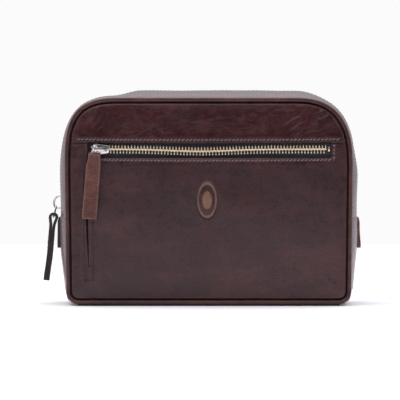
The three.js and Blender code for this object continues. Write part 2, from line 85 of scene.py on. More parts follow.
# Swelling of the leather: heights above the seam line and the distances over which they grow.
PANEL_EDGE_Y = 51.4 * MM
PANEL_CROWN = 3.3 * MM
PANEL_BULGE = 1.6 * MM
PANEL_CROWN_REACH = 11 * MM
GUSSET_SWELL = 7.2 * MM
TOP_SAG = -0.12
CORNER_FOLD = 2.4 * MM
PULL_LEFT = 0.58
PULL_RIGHT = 0.42
PANEL_INSET = 3.3 * MM
WALL_Z = 0.2 * MM
LOW_SWELL = 0.45
GROUND_SOFT = 2.5 * MM

# Cut lines of the front.
YOKE_EDGE_Z = WINDOW_TOP - 0.9 * MM
WINDOW_LEFT = -105 * MM
WINDOW_RIGHT = 108 * MM
WINDOW_BOTTOM = 130.4 * MM
SLIT_X = -106.5 * MM
SLIT_END_Z = 36 * MM
ZIP_Z = 137.6 * MM
ZIP_SAG = 1.2 * MM
ZIP_Y = 50.35 * MM


# ---------------------------------------------------------------- meshes

def new_piece(name, vertices, faces, material, flat=()):
    """A mesh object. Faces whose number is in flat keep sharp edges."""
    mesh = bpy.data.meshes.new(name)
    mesh.from_pydata([tuple(v) for v in vertices], [], [tuple(f) for f in faces])
    smooth = np.ones(len(mesh.polygons), bool)
    smooth[list(flat)] = False
    mesh.polygons.foreach_set("use_smooth", smooth)
    mesh.materials.append(material)
    mesh.validate()
    mesh.update()
    piece = bpy.data.objects.new(name, mesh)
    bpy.context.scene.collection.objects.link(piece)
    return piece


def merged(name, parts, material):
    """One object from a list of (vertices, faces)."""
    vertices = []
    faces = []
    for part_vertices, part_faces in parts:
        base = len(vertices)
        vertices.extend(part_vertices)
        faces.extend([tuple(base + i for i in face) for face in part_faces])
    return new_piece(name, vertices, faces, material)


def ring_faces(rings, sides, closed=False, caps=True):
    """Quads between successive rings of a sweep, with end caps if it is open."""
    faces = []
    last = rings if closed else rings - 1
    for i in range(last):
        a = i * sides
        b = (i + 1) % rings * sides
        for j in range(sides):
            k = (j + 1) % sides
            faces.append((a + j, a + k, b + k, b + j))
    if caps and not closed:
        faces.append(tuple(reversed(range(sides))))
        faces.append(tuple(range((rings - 1) * sides, rings * sides)))
    return faces


def sweep(points, ups, section, closed=False):
    """Vertices and faces of a section (k, 2) or (n, k, 2) carried along points, its second axis along ups."""
    points = np.asarray(points, float)
    ups = np.broadcast_to(np.asarray(ups, float), points.shape)
    if closed:
        tangents = np.roll(points, -1, 0) - np.roll(points, 1, 0)
    else:
        tangents = np.gradient(points, axis=0)
    tangents /= np.linalg.norm(tangents, axis=1)[:, None]
    sides = np.cross(tangents, ups)
    sides /= np.linalg.norm(sides, axis=1)[:, None]
    ups = np.cross(sides, tangents)
    section = np.broadcast_to(section, (len(points), *np.shape(section)[-2:]))
    vertices = (
        points[:, None]
        + sides[:, None] * section[..., :1]
        + ups[:, None] * section[..., 1:]
    )
    count = section.shape[1]
    return list(vertices.reshape(-1, 3)), ring_faces(len(points), count, closed)


def circle(radius, sides):
    angle = np.arange(sides) / sides * 2 * math.pi
    return np.stack([radius * np.cos(angle), radius * np.sin(angle)], 1)


def rounded_box(half_width, half_height, corner, steps=3):
    """A rounded rectangle, counter-clockwise."""
    points = []
    centres = [(1, 1, 0), (-1, 1, 1), (-1, -1, 2), (1, -1, 3)]
    for sx, sy, quarter in centres:
        for i in range(steps + 1):
            angle = (quarter + i / steps) * math.pi / 2
            points.append((
                sx * (half_width - corner) + corner * math.cos(angle),
                sy * (half_height - corner) + corner * math.sin(angle),
            ))
    return np.array(points)


def smoothstep(value, low, high):
    t = np.clip((np.asarray(value, float) - low) / (high - low), 0, 1)
    return t * t * (3 - 2 * t)


def bell(value, reach):
    """1 at zero, falling off smoothly on both sides."""
    return np.exp(-(value / reach) ** 2)


def xyz(x, y, z):
    """Three coordinates, of any matching shapes, as one array of points."""
    return np.stack(np.broadcast_arrays(x, y, z), -1)


def waves(a, b, seed, size, count=7):
    """Smooth uneven relief between -1 and 1: a few plane waves in random directions."""
    rng = random.Random(seed)
    total = np.zeros(np.shape(a))
    for _ in range(count):
        angle = rng.uniform(0, 2 * math.pi)
        length = size * rng.uniform(0.7, 1.8)
        phase = rng.uniform(0, 2 * math.pi)
        along = np.asarray(a) * math.cos(angle) + np.asarray(b) * math.sin(angle)
        total = total + np.sin(2 * math.pi * along / length + phase)
    return total / count


def direction(a, b):
    d = np.array(b, float) - np.array(a, float)
    return d / np.linalg.norm(d)


def resample(points, step, closed=True):
    """Points at equal steps along a polyline."""
    points = np.asarray(points, float)
    if closed:
        points = np.vstack([points, points[:1]])
    length = np.concatenate([[0], np.cumsum(np.linalg.norm(np.diff(points, axis=0), axis=1))])
    count = max(2, int(round(length[-1] / step)))
    at = np.linspace(0, length[-1], count + 1)
    if closed:
        at = at[:-1]
    return np.stack([np.interp(at, length, points[:, i]) for i in range(points.shape[1])], 1)


# ---------------------------------------------------------------- the body's surfaces

def corner(cx, cz, width, height, power, start, count=40):
    """A quarter of a superellipse, counter-clockwise from a start angle in quarters of a turn."""
    points = []
    for i in range(count + 1):
        angle = (start + i / count) * math.pi / 2
        c, s = math.cos(angle), math.sin(angle)
        x = cx + width * math.copysign(abs(c) ** (2 / power), c)
        z = cz + height * math.copysign(abs(s) ** (2 / power), s)
        points.append((x, z))
    return points


class Outline:
    """The seam line of both panels, by length from the middle of the bottom, counter-clockwise."""

    def __init__(self):
        low = BOTTOM_CORNER
        wide, high = TOP_CORNER_WIDTH, TOP_CORNER_HEIGHT
        points = [(0, BOTTOM_Z)]
        points += corner(SIDE_X - low, BOTTOM_Z + low, low, low, 2, 3)
        points += corner(SIDE_X - wide, TOP_Z - high, wide, high, CORNER_POWER_RIGHT, 0)
        points += corner(wide - SIDE_X, TOP_Z - high, wide, high, CORNER_POWER_LEFT, 1)
        points += corner(low - SIDE_X, BOTTOM_Z + low, low, low, 2, 2)
        points = np.array(points)
        taper = FOOT_TAPER * (1 - smoothstep(points[:, 1], -TAPER_TOP, TAPER_TOP)) * 2
        points[:, 0] -= np.sign(points[:, 0]) * taper
        self.points = resample(points, OUTLINE_STEP)
        step = np.linalg.norm(self.points - np.roll(self.points, -1, 0), axis=1)
        self.length = step.sum()
        self.at_length = np.concatenate([[0], np.cumsum(step)])
        tangent = np.roll(self.points, -4, 0) - np.roll(self.points, 4, 0)
        tangent /= np.linalg.norm(tangent, axis=1)[:, None]
        self.normals = np.stack([tangent[:, 1], -tangent[:, 0]], 1)

    def _read(self, table, s):
        closed = np.vstack([table, table[:1]])
        s = np.mod(s, self.length)
        return np.stack([np.interp(s, self.at_length, closed[:, i]) for i in range(2)], -1)

    def place(self, s, offset=0.0):
        normal = self._read(self.normals, s)
        normal /= np.linalg.norm(normal, axis=-1)[..., None]
        return self._read(self.points, s) + normal * np.asarray(offset)[..., None]

    def depth(self, x, z):
        """How far inside the outline a point lies."""
        return distance(np.stack([x, z], -1), self.points)

    def side(self, z, right):
        """Length along the outline at a height on the right or left side."""
        half = len(self.points) // 2
        if right:
            pick = np.arange(10, half)
        else:
            pick = np.arange(len(self.points) - 10, half, -1)
        heights = self.points[pick, 1]
        rising = pick[np.searchsorted(heights, z)]
        return self.at_length[rising]


def distance(points, loop, closed=True):
    """Distance from each point to a polyline."""
    points = np.asarray(points, float)
    flat = points.reshape(-1, 2)
    start = np.asarray(loop, float)
    end = np.roll(start, -1, 0)
    if not closed:
        start, end = start[:-1], end[:-1]
    along = end - start
    size = np.maximum((along ** 2).sum(1), 1e-18)
    best = np.full(len(flat), np.inf)
    for low in range(0, len(flat), 2000):
        part = flat[low:low + 2000, None]
        t = np.clip(((part - start) * along).sum(-1) / size, 0, 1)
        gap = part - start - along * t[..., None]
        best[low:low + 2000] = np.sqrt((gap ** 2).sum(-1)).min(1)
    return best.reshape(points.shape[:-1])


def inside(points, loop):
    """Which points lie inside a closed loop."""
    x, y = points[:, 0], points[:, 1]
    result = np.zeros(len(points), bool)
    loop = np.asarray(loop)
    previous = loop[-1]
    for current in loop:
        crosses = (current[1] > y) != (previous[1] > y)
        rise = previous[1] - current[1]
        if abs(rise) > 1e-15:
            where = current[0] + (y - current[1]) * (previous[0] - current[0]) / rise
            result ^= crosses & (x < where)
        previous = current
    return result


OUTLINE = Outline()


def panel_height(x, z):
    """How far the face of a panel stands beyond the seam: quickly up from the piping, then nearly flat."""
    deep = OUTLINE.depth(x, z)
    crown = PANEL_CROWN * (1 - np.exp(-deep / PANEL_CROWN_REACH))
    uneven = 0.4 * MM * waves(x, z, 5, 90 * MM) * smoothstep(deep, 0, 30 * MM)
    middle = (x / SIDE_X) ** 2 + ((z - TOP_Z / 2) / (TOP_Z / 2)) ** 2
    return crown + uneven + PANEL_BULGE * np.clip(1 - middle, 0, 1)


def front(x, z, h):
    return xyz(x, -(PANEL_EDGE_Y + panel_height(x, z) + h), z)


def back(x, z, h):
    return xyz(x, PANEL_EDGE_Y + panel_height(-x, z) + h, z)


def corner_pull(x, z):
    """The share of its swell that the gusset loses round the top corners, more on the left."""
    left = PULL_LEFT * smoothstep(-x, 60 * MM, 86 * MM) * smoothstep(z, 118 * MM, 172 * MM)
    right = PULL_RIGHT * smoothstep(x, 76 * MM, 104 * MM) * smoothstep(z, 112 * MM, 142 * MM)
    return left + right


def gusset(s, y, h):
    """The strip round the body, by length along the outline and depth, swelling between the panels."""
    across = np.clip(np.abs(y) / GUSSET_HALF, 0, 1)
    x, level = np.moveaxis(OUTLINE.place(s), -1, 0)
    swell = GUSSET_SWELL * (1 - across ** 2.2) ** 0.72
    uneven = 0.5 * MM * waves(np.asarray(s), np.asarray(y) * 1.5, 9, 70 * MM) * (1 - across ** 2)
    fade = LOW_SWELL + (1 - LOW_SWELL) * smoothstep(level, 0, 60 * MM)
    fade = fade * (1 - TOP_SAG * smoothstep(level, TOP_Z - 34 * MM, TOP_Z - 4 * MM))
    fade = fade * (1 - corner_pull(x, level))
    knob = bell(level - 6 * MM, 3.2 * MM) * smoothstep(np.abs(y), 24 * MM, 40 * MM)
    knob = knob * smoothstep(np.abs(x), SIDE_X - 12 * MM, SIDE_X - 5 * MM) * (1 - across ** 8)
    x, level = np.moveaxis(OUTLINE.place(s, (swell + uneven) * fade + knob * CORNER_FOLD + h), -1, 0)
    return xyz(x, y, flattened(level, WALL_Z - np.minimum(h, 0)))


def flattened(z, floor):
    """Heights pressed flat on the ground under the base, with a soft turn up into the sides."""
    soft = floor + GROUND_SOFT * np.log1p(np.exp(np.clip((z - floor) / GROUND_SOFT, -30, 30)))
    share = smoothstep(z, 12 * MM, 4 * MM)
    pressed = z * (1 - share) + np.minimum(soft, z + 6 * MM) * share
    return np.maximum(pressed, floor)


# ---------------------------------------------------------------- sheets of leather

ROLL_SHARES = (0.08, 0.3, 0.6, 1.0)
LINE_SHIFTS = (-1.6, -0.8, 0, 0.8, 1.6)
LINE_CLEAR = 2.2 * MM
WORN_EDGE = 0.9 * MM
UNDERSIDE_WEAR = 0.6


def offset_rows(loop, distances):
    """Points inside a counter-clockwise loop, at set distances from it."""
    loop = np.asarray(loop)
    tangent = np.roll(loop, -1, 0) - np.roll(loop, 1, 0)
    tangent /= np.maximum(np.linalg.norm(tangent, axis=1), 1e-12)[:, None]
    inward = np.stack([-tangent[:, 1], tangent[:, 0]], 1)
    return [(loop + inward * d, d) for d in distances]


def left_of(path):
    """Unit normals on the left of a flat open path."""
    way = np.gradient(path, axis=0)
    way /= np.linalg.norm(way, axis=1)[:, None]
    return np.stack([-way[:, 1], way[:, 0]], 1)


def hexagonal(low, high, step):
    """Points of a triangular grid."""
    rows = []
    z = low[1]
    odd = False
    while z < high[1]:
        x = np.arange(low[0] + (step / 2 if odd else 0), high[0], step)
        rows.append(np.stack([x, np.full(len(x), z)], 1))
        z += step * 0.87
        odd = not odd
    return np.vstack(rows)


def leather_sheet(name, surface, border, material, thickness, roll,
                  step=3 * MM, holes=(), relief=None, lines=(), edge_step=1.5 * MM):
    """A closed sheet over a surface: its upper edges are rolled over, and its relief is added to the height.

    border is counter-clockwise, holes are clockwise, both in the surface's own coordinates. lines are
    polylines where the mesh is made finer, for seams."""
    loops = [resample(border, edge_step)] + [resample(hole, edge_step / 2) for hole in holes]
    candidates = []
    for loop in loops:
        for points, d in offset_rows(loop, [roll * share for share in ROLL_SHARES]):
            candidates.append((points, d * 0.93))
    for line in lines:
        dense = resample(line, 1.2 * MM, closed=False)
        side = left_of(dense)
        for shift in LINE_SHIFTS:
            candidates.append((dense + side * shift * MM, roll * 1.15))
    grid = hexagonal(loops[0].min(0), loops[0].max(0), step)
    if lines:
        near = np.min([distance(grid, line, closed=False) for line in lines], axis=0)
        grid = grid[near > LINE_CLEAR]
    candidates.append((grid, roll + step * 0.45))
    chosen = list(loops)
    for points, limit in candidates:
        keep = inside(points, loops[0])
        for hole in loops[1:]:
            keep &= ~inside(points, hole)
        points = points[keep]
        if len(points):
            gap = np.min([distance(points, loop) for loop in loops], axis=0)
            chosen.append(points[gap >= limit])
    flat_points = np.vstack(chosen)
    edges = []
    base = 0
    for loop in loops:
        count = len(loop)
        edges += [(base + i, base + (i + 1) % count) for i in range(count)]
        base += count
    found = delaunay_2d_cdt([Vector(p) for p in flat_points / MM], edges, [], 0, 1e-4)
    points = np.array([tuple(v) for v in found[0]]) * MM
    triangles = np.array([f for f in found[2]])
    middle = points[triangles].mean(1)
    keep = inside(middle, loops[0])
    for hole in loops[1:]:
        keep &= ~inside(middle, hole)
    triangles = triangles[keep]
    a, b, c = (points[triangles[:, i]] for i in range(3))
    ab, ac = b - a, c - a
    turned = ab[:, 0] * ac[:, 1] - ab[:, 1] * ac[:, 0] < 0
    triangles[turned] = triangles[turned][:, ::-1]
    used = np.unique(triangles)
    number = np.full(len(points), -1)
    number[used] = np.arange(len(used))
    points, triangles = points[used], number[triangles]
    gap = np.min([distance(points, loop) for loop in loops], axis=0)
    left = roll - np.minimum(gap, roll)
    height = -(roll - np.sqrt(np.maximum(roll ** 2 - left ** 2, 0)))
    if relief is not None:
        height = height + relief(points[:, 0], points[:, 1])
    top = surface(points[:, 0], points[:, 1], height)
    bottom = surface(points[:, 0], points[:, 1], np.full(len(points), -thickness))
    count = len(points)
    faces = [tuple(t) for t in triangles]
    under = [tuple(count + i for i in t[::-1]) for t in triangles]
    seen = dict.fromkeys((t[i], t[(i + 1) % 3]) for t in triangles for i in range(3))
    sides = [(j, i, count + i, count + j) for i, j in seen if (j, i) not in seen]
    every = faces + under + sides
    if faces_in(top, bottom, triangles):
        every = [tuple(reversed(f)) for f in every]
    flat = range(len(faces), len(every))
    piece = new_piece(name, np.vstack([top, bottom]), every, material, flat)
    wear = piece.data.attributes.new("wear", "FLOAT", "POINT")
    wear.data.foreach_set("value", np.concatenate([bell(gap, WORN_EDGE), np.full(count, UNDERSIDE_WEAR)]))
    return piece


def faces_in(top, bottom, triangles):
    """True where most of the upper triangles face the underside."""
    a, b, c = (top[triangles[:, i]] for i in range(3))
    out = (top - bottom)[triangles[:, 0]]
    return (np.cross(b - a, c - a) * out).sum() < 0


def rectangle(a0, a1, b0, b1):
    return [(a0, b0), (a1, b0), (a1, b1), (a0, b1)]


# ---------------------------------------------------------------- placing the pieces

def front_follow(piece):
    """Bakes the front piece's transform into its mesh."""
    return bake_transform(piece)


def gusset_follow(piece):
    """Bakes the gusset piece's transform into its mesh."""
    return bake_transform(piece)


def finish_piece(piece, body, nodes=()):
    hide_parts(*nodes)
    if body == "front":
        front_follow(piece)
    elif body == "gusset":
        gusset_follow(piece)
    else:
        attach(piece, body)
    return piece


# ---------------------------------------------------------------- materials

class Nodes:
    """A short way of writing the node graph of a material or of the world."""

    def __init__(self, owner, coordinates="Object"):
        owner.use_nodes = True
        self.owner = owner
        self.tree = owner.node_tree
        self.coordinates = self.add("ShaderNodeTexCoord").outputs[coordinates]

    def add(self, kind, inputs=None, **settings):
        node = self.tree.nodes.new(kind)
        for key, value in settings.items():
            setattr(node, key, value)
        for key, value in (inputs or {}).items():
            self.put(node.inputs[key], value)
        return node

    def put(self, socket, value):
        if isinstance(value, bpy.types.NodeSocket):
            self.tree.links.new(value, socket)
        elif socket.type == "RGBA":
            socket.default_value = (*value, 1)
        else:
            socket.default_value = value

    def noise(self, scale, detail=3.0, rough=0.5, warp=0.0, where=None):
        inputs = {
            "Vector": where or self.coordinates, "Scale": scale,
            "Detail": detail, "Roughness": rough, "Distortion": warp,
        }
        return self.add("ShaderNodeTexNoise", inputs).outputs["Fac"]

    def cells(self, scale, feature, where):
        inputs = {"Vector": where, "Scale": scale}
        return self.add("ShaderNodeTexVoronoi", inputs, feature=feature).outputs["Distance"]

    def mapped(self, where=None, **inputs):
        return self.add("ShaderNodeMapping", {"Vector": where or self.coordinates, **inputs}).outputs["Vector"]

    def remap(self, value, low, high, out_low, out_high, curve="LINEAR"):
        inputs = {0: value, 1: low, 2: high, 3: out_low, 4: out_high}
        return self.add("ShaderNodeMapRange", inputs, interpolation_type=curve).outputs["Result"]

    def ramp(self, value, stops):
        node = self.add("ShaderNodeValToRGB", {"Fac": value})
        elements = node.color_ramp.elements
        while len(elements) < len(stops):
            elements.new(0.5)
        for element, (place, colour) in zip(elements, stops):
            element.position = place
            element.color = (*colour, 1)
        return node.outputs["Color"]

    def mix(self, factor, a, b):
        """Two colours: sockets 6 and 7 are a mix node's colour inputs, 2 its colour output."""
        return self.add("ShaderNodeMix", {"Factor": factor, 6: a, 7: b}, data_type="RGBA").outputs[2]

    def math(self, operation, a, b=0.0):
        return self.add("ShaderNodeMath", {0: a, 1: b}, operation=operation).outputs[0]

    def weighted(self, *terms):
        """Sum of (socket, weight) pairs."""
        total, *rest = (self.math("MULTIPLY", socket, weight) for socket, weight in terms)
        for term in rest:
            total = self.math("ADD", total, term)
        return total

    def bump(self, height, distance_m, strength=1.0, normal=None):
        inputs = {"Height": height, "Distance": distance_m, "Strength": strength}
        if normal is not None:
            inputs["Normal"] = normal
        return self.add("ShaderNodeBump", inputs).outputs["Normal"]

    def finish(self, **sockets):
        shader = self.tree.nodes["Principled BSDF"]
        for key, value in sockets.items():
            self.put(shader.inputs[key.replace("_", " ")], value)
        return self.owner


def material(name):
    return Nodes(bpy.data.materials.new(name))


def leather(name, dark, middle, light, roughness, grain, crease=0.4, coat=0.0, seed=0.0, cracks=0.0,
            worn=(0.11, 0.055, 0.045), wear=0.35, shine=0.34, veins=0.55):
    """Polished leather: cloudy dye, fine mottling, pores and soft creases, rubbed paler at its edges."""
    n = material(name)
    where = n.mapped(Location=(seed, seed, seed))
    cloud = n.noise(13, 4, 0.55, 0.4, where)
    mottle = n.noise(110, 6, 0.7, 0.3, where)
    streak = n.noise(34, 5, 0.6, 0.8, n.mapped(where, Scale=(0.45, 1.0, 1.5)))
    both = n.weighted((cloud, 0.36), (mottle, 0.34), (streak, 0.30))
    colour = n.ramp(both, [(0.40, dark), (0.5, middle), (0.61, light)])
    pores = n.cells(1100, "F1", where)
    creases = n.noise(300, 7, 0.7, 1.4, where)
    ridges = n.cells(620, "DISTANCE_TO_EDGE", where)
    veined = n.noise(46, 7, 0.62, 2.2, n.mapped(where, Rotation=(0, 0.5, 0), Scale=(0.55, 1.0, 1.5)))
    vein = n.remap(n.math("ABSOLUTE", n.math("SUBTRACT", veined, 0.5)), 0.0, 0.028, 1.0, 0.0)
    vein = n.math("MULTIPLY", vein, n.remap(cloud, 0.40, 0.60, 0.15, 1.0))
    colour = n.mix(n.remap(pores, 0.0, 0.22, 0.4, 0.0), colour, dark)
    colour = n.mix(n.remap(ridges, 0.0, 0.12, 0.15, 0.0), colour, dark)
    colour = n.mix(n.math("MULTIPLY", vein, veins), colour, light)
    edge = n.add("ShaderNodeAttribute", attribute_name="wear").outputs["Fac"]
    rub = n.math("MULTIPLY", edge, n.remap(mottle, 0.35, 0.65, 0.3, 1.0))
    colour = n.mix(n.math("MULTIPLY", rub, wear), colour, worn)
    if cracks:
        lines = n.noise(420, 5, 0.7, 2.0, n.mapped(where, Scale=(0.45, 1.0, 1.3)))
        colour = n.mix(n.remap(lines, 0.54, 0.66, 0.0, cracks), colour, worn)
        colour = n.mix(n.remap(lines, 0.44, 0.34, 0.0, cracks), colour, dark)
    rough = n.math("ADD", n.weighted((mottle, 0.30), (creases, 0.22), (rub, 0.12)), roughness - 0.26)
    normal = n.bump(creases, grain * 2.4, crease)
    normal = n.bump(n.remap(pores, 0.0, 0.55, 0.0, 1.0), grain, 0.5, normal)
    normal = n.bump(n.remap(ridges, 0.0, 0.16, 0.0, 1.0), grain * 1.2, 0.4, normal)
    normal = n.bump(n.math("ADD", vein, n.math("MULTIPLY", veined, 3.0)), 0.16 * MM, veins * 0.8, normal)
    return n.finish(Base_Color=colour, Roughness=rough, Normal=normal, Coat_Weight=coat,
                    Coat_Roughness=0.2, Specular_IOR_Level=shine)


def woven(name, dark, light, pitch, depth, roughness=0.85):
    """Plain weave from two crossed bands, with a little sheen."""
    n = material(name)
    inputs = {"Vector": n.coordinates, "Scale": 0.31 / pitch, "Distortion": 0.6}
    bands = [
        n.add("ShaderNodeTexWave", inputs, wave_type="BANDS", bands_direction=way).outputs["Fac"]
        for way in "XZ"
    ]
    fuzz = n.noise(700, 4, 0.6)
    tone = n.weighted((n.math("MULTIPLY", *bands), 0.6), (fuzz, 0.4))
    colour = n.ramp(tone, [(0.2, dark), (0.8, light)])
    rough = n.remap(fuzz, 0.2, 0.8, roughness - 0.1, roughness + 0.1)
    return n.finish(Base_Color=colour, Roughness=rough, Normal=n.bump(tone, depth, 0.8),
                    Sheen_Weight=0.25, Sheen_Roughness=0.4)


def metal(name, colour, worn, roughness, scratch=0.2):
    """Plated metal: cast unevenness, fine rub marks and a duller tone in the marks."""
    n = material(name)
    cast = n.noise(260, 3, 0.5)
    rub = n.noise(2600, 4, 0.7, 0.0, n.mapped(Scale=(1.0, 0.25, 1.0)))
    tone = n.mix(n.remap(rub, 0.45, 0.75, 0.0, 0.5), colour, worn)
    rough = n.remap(rub, 0.3, 0.8, roughness * 0.75, roughness * 1.5)
    normal = n.bump(cast, 0.25 * MM, scratch)
    return n.finish(Base_Color=tone, Metallic=1.0, Roughness=rough, Normal=normal)


BODY_LEATHER = leather(
    "body_leather", (0.020, 0.0058, 0.0068), (0.036, 0.0106, 0.0118), (0.062, 0.0185, 0.0190), 0.29, 0.06 * MM,
    coat=0.2, wear=0.4,
)
# The yoke uses the body's leather coloured slightly darker and redder as painted shade, since it looks darker
# than the middle of the front; it also has less coat and shine.
YOKE_SHADED_LEATHER = leather(
    "yoke_shaded_leather", (0.020, 0.0050, 0.0060), (0.035, 0.0090, 0.0102), (0.062, 0.0170, 0.0175), 0.25, 0.06 * MM,
    coat=0.1, wear=0.4, shine=0.26,
)
PIPING_LEATHER = leather(
    "piping_leather", (0.030, 0.0090, 0.0080), (0.056, 0.0180, 0.0155), (0.090, 0.032, 0.026), 0.36, 0.06 * MM,
    seed=3.0, wear=0.0, coat=0.15,
)
# Near-black leather: painted shade, for the groove behind the piping and the contact shadow along the base.
SEAM_SHADE_LEATHER = leather(
    "seam_shade_leather", (0.003, 0.0018, 0.0018), (0.005, 0.003, 0.003), (0.008, 0.005, 0.005), 0.7, 0.05 * MM,
    wear=0.0,
)
TAB_LEATHER = leather(
    "tab_leather", (0.030, 0.0080, 0.0060), (0.062, 0.0185, 0.0140), (0.105, 0.036, 0.027), 0.46, 0.10 * MM,
    crease=0.95, seed=7.0, cracks=0.5, worn=(0.24, 0.125, 0.10), wear=0.85,
)
EDGE_LEATHER = leather(
    "edge_leather", (0.010, 0.008, 0.008), (0.020, 0.016, 0.016), (0.036, 0.029, 0.028), 0.5, 0.10 * MM,
    crease=0.9, seed=11.0, worn=(0.05, 0.04, 0.038), wear=0.6,
)
TAPE = woven("zip_tape", (0.006, 0.005, 0.008), (0.030, 0.025, 0.038), 0.5 * MM, 0.06 * MM, 0.6)
LINING = woven("lining", (0.035, 0.030, 0.034), (0.095, 0.082, 0.090), 0.45 * MM, 0.05 * MM)
THREAD = woven("thread", (0.12, 0.090, 0.082), (0.36, 0.30, 0.28), 0.35 * MM, 0.05 * MM, 0.6)
GOLD = metal("zip_gold", (0.84, 0.71, 0.50), (0.48, 0.37, 0.24), 0.26)
SILVER = metal("slider_silver", (0.66, 0.64, 0.63), (0.36, 0.33, 0.32), 0.20)

# ---------------------------------------------------------------- piping

PIPE_SIDES = 24
SEAM_ANGLE = 1.45


def on_loop(offset, y):
    """The outline moved outward by an offset, at one depth."""
    x, z = (OUTLINE.points + OUTLINE.normals * offset).T
    return xyz(x, y, z)


def piping(name, y):
    """Leather rolled round a cord: slightly lumpy, with the pinched seam line along its face."""
    at = OUTLINE.at_length[:-1]
    angle = np.arange(PIPE_SIDES) / PIPE_SIDES * 2 * math.pi
    lump = 0.07 * MM * waves(at, at * 0.3, 21, 17 * MM)[:, None]
    groove = 0.34 * MM * bell(angle - SEAM_ANGLE, 0.2)[None]
    radius = PIPE_RADIUS + lump - groove
    section = np.stack([radius * np.cos(angle), radius * np.sin(angle)], -1)
    vertices, faces = sweep(on_loop(0, y), (0, math.copysign(1, y), 0), section, closed=True)
    return new_piece(name, vertices, faces, PIPING_LEATHER)


finish_piece(piping("front_piping_roll", -PIPE_Y), "front",
             ("front_piping_lower", "front_piping_upper"))
finish_piece(piping("back_piping_roll", PIPE_Y), "bag", ("back_piping",))


def welt(name, y):
    """The turned-in seam allowance behind the groove, which closes the gap into the bag; its near-black colour
    is painted shade for the groove between piping and panel.
    """
    section = rounded_box(2.4 * MM, 0.45 * MM, 0.3 * MM, 2)
    vertices, faces = sweep(on_loop(-3.1 * MM, y), (0, 1, 0), section, closed=True)
    return new_piece(name, vertices, faces, SEAM_SHADE_LEATHER)


def base_shadow_strip(name, y):
    """A near-black strip between the piping and the ground, shaped as the turned edge of the base: painted
    contact shadow.
    """
    reach = SIDE_X - BOTTOM_CORNER - 1 * MM
    x = np.linspace(-reach, reach, 80)
    points = xyz(x, y, 1.15 * MM + 0.08 * MM * waves(x, x * 0, 23, 30 * MM))
    vertices, faces = sweep(points, (0, 0, 1), rounded_box(0.9 * MM, 1.05 * MM, 0.4 * MM, 2))
    return new_piece(name, vertices, faces, SEAM_SHADE_LEATHER)


WELT_Y = GUSSET_HALF + 0.9 * MM
BASE_SHADOW_Y = 50.6 * MM
# Painted contact shadow strips along the foot of the front and back.
finish_piece(base_shadow_strip("front_base_shadow", -BASE_SHADOW_Y), "bag")
finish_piece(base_shadow_strip("back_base_shadow", BASE_SHADOW_Y), "bag")
finish_piece(welt("front_shaded_welt", -WELT_Y), "front")
finish_piece(welt("back_shaded_welt", WELT_Y), "bag")


# ---------------------------------------------------------------- front and back leather

def panel_border(keep=None):
    """The panel's cut edge, just inside the piping, or the open run of it where keep(height) holds."""
    points = OUTLINE.points - OUTLINE.normals * PANEL_INSET
    if keep is None:
        return points
    points = points[keep(points[:, 1])]
    gaps = np.linalg.norm(np.diff(points, axis=0), axis=1)
    return np.roll(points, -1 - int(gaps.argmax()), 0) if gaps.max() > 10 * MM else points




YOKE_STEP = 1.8 * MM
YOKE_STEP_REACH = 26 * MM
STITCH_WINDOW_Z = 128.6 * MM
STITCH_END_X = 110.2 * MM
STITCH_SLIT_LEFT = -110.6 * MM
STITCH_SLIT_RIGHT = -102.6 * MM
BAR_TACK_Z = 23 * MM
SLIT_LEAN = 0.8 * MM
SLIT_HEIGHTS = (115, 104, 92, 80, 70)
PANEL_THICK = 2.3 * MM
PANEL_ROLL = 0.9 * MM
SLIT_PATH = (
    (20, -105.2), (36, -105.5), (60, -106.6), (80, -107.2), (104, -106.9), (130, -105.6), (160, -105.2),
)


def slit_x(z):
    heights, places = np.array(SLIT_PATH).T * MM
    return np.interp(z, heights, places)


def seam_run(a, b, count=60, bend=0.0):
    """A nearly straight stitch line with a slight bow."""
    t = np.linspace(0, 1, count)
    points = np.outer(1 - t, a) + np.outer(t, b)
    normal = np.array([-(b[1] - a[1]), b[0] - a[0]])
    normal /= np.linalg.norm(normal)
    return points + np.outer(np.sin(t * math.pi) * bend, normal)


def yoke_edge(x):
    """Height of the yoke's lower edge: it dips a little in the middle."""
    return YOKE_EDGE_Z - 0.7 * MM * np.cos(np.clip(x / SIDE_X, -1, 1) * math.pi / 2)


YOKE_SEAM = np.array([(x, yoke_edge(x) + 2.5 * MM) for x in np.linspace(-121 * MM, 121 * MM, 160)])
WINDOW_SEAM = seam_run((-100 * MM, STITCH_WINDOW_Z), (STITCH_END_X, STITCH_WINDOW_Z), 120, -0.7 * MM)
END_SEAM = seam_run((STITCH_END_X, STITCH_WINDOW_Z), (STITCH_END_X, YOKE_EDGE_Z), 20)
SLIT_SEAM_LEFT, SLIT_SEAM_RIGHT = (
    seam_run((x, top), (x + SLIT_LEAN, BAR_TACK_Z), 90)
    for x, top in ((STITCH_SLIT_LEFT, YOKE_EDGE_Z), (STITCH_SLIT_RIGHT, STITCH_WINDOW_Z))
)
FRONT_SEAMS = [WINDOW_SEAM, END_SEAM, SLIT_SEAM_LEFT, SLIT_SEAM_RIGHT]
BAR_TACK = seam_run((STITCH_SLIT_LEFT, BAR_TACK_Z), (STITCH_SLIT_RIGHT + 2 * MM, BAR_TACK_Z - 0.6 * MM), 12)


def pinch(points_a, points_b, seams, depth=0.45 * MM, reach=1.0 * MM):
    """The leather drawn down along its stitching."""
    points = np.stack([points_a, points_b], -1)
    return -sum(depth * bell(distance(points, seam, closed=False), reach) for seam in seams)


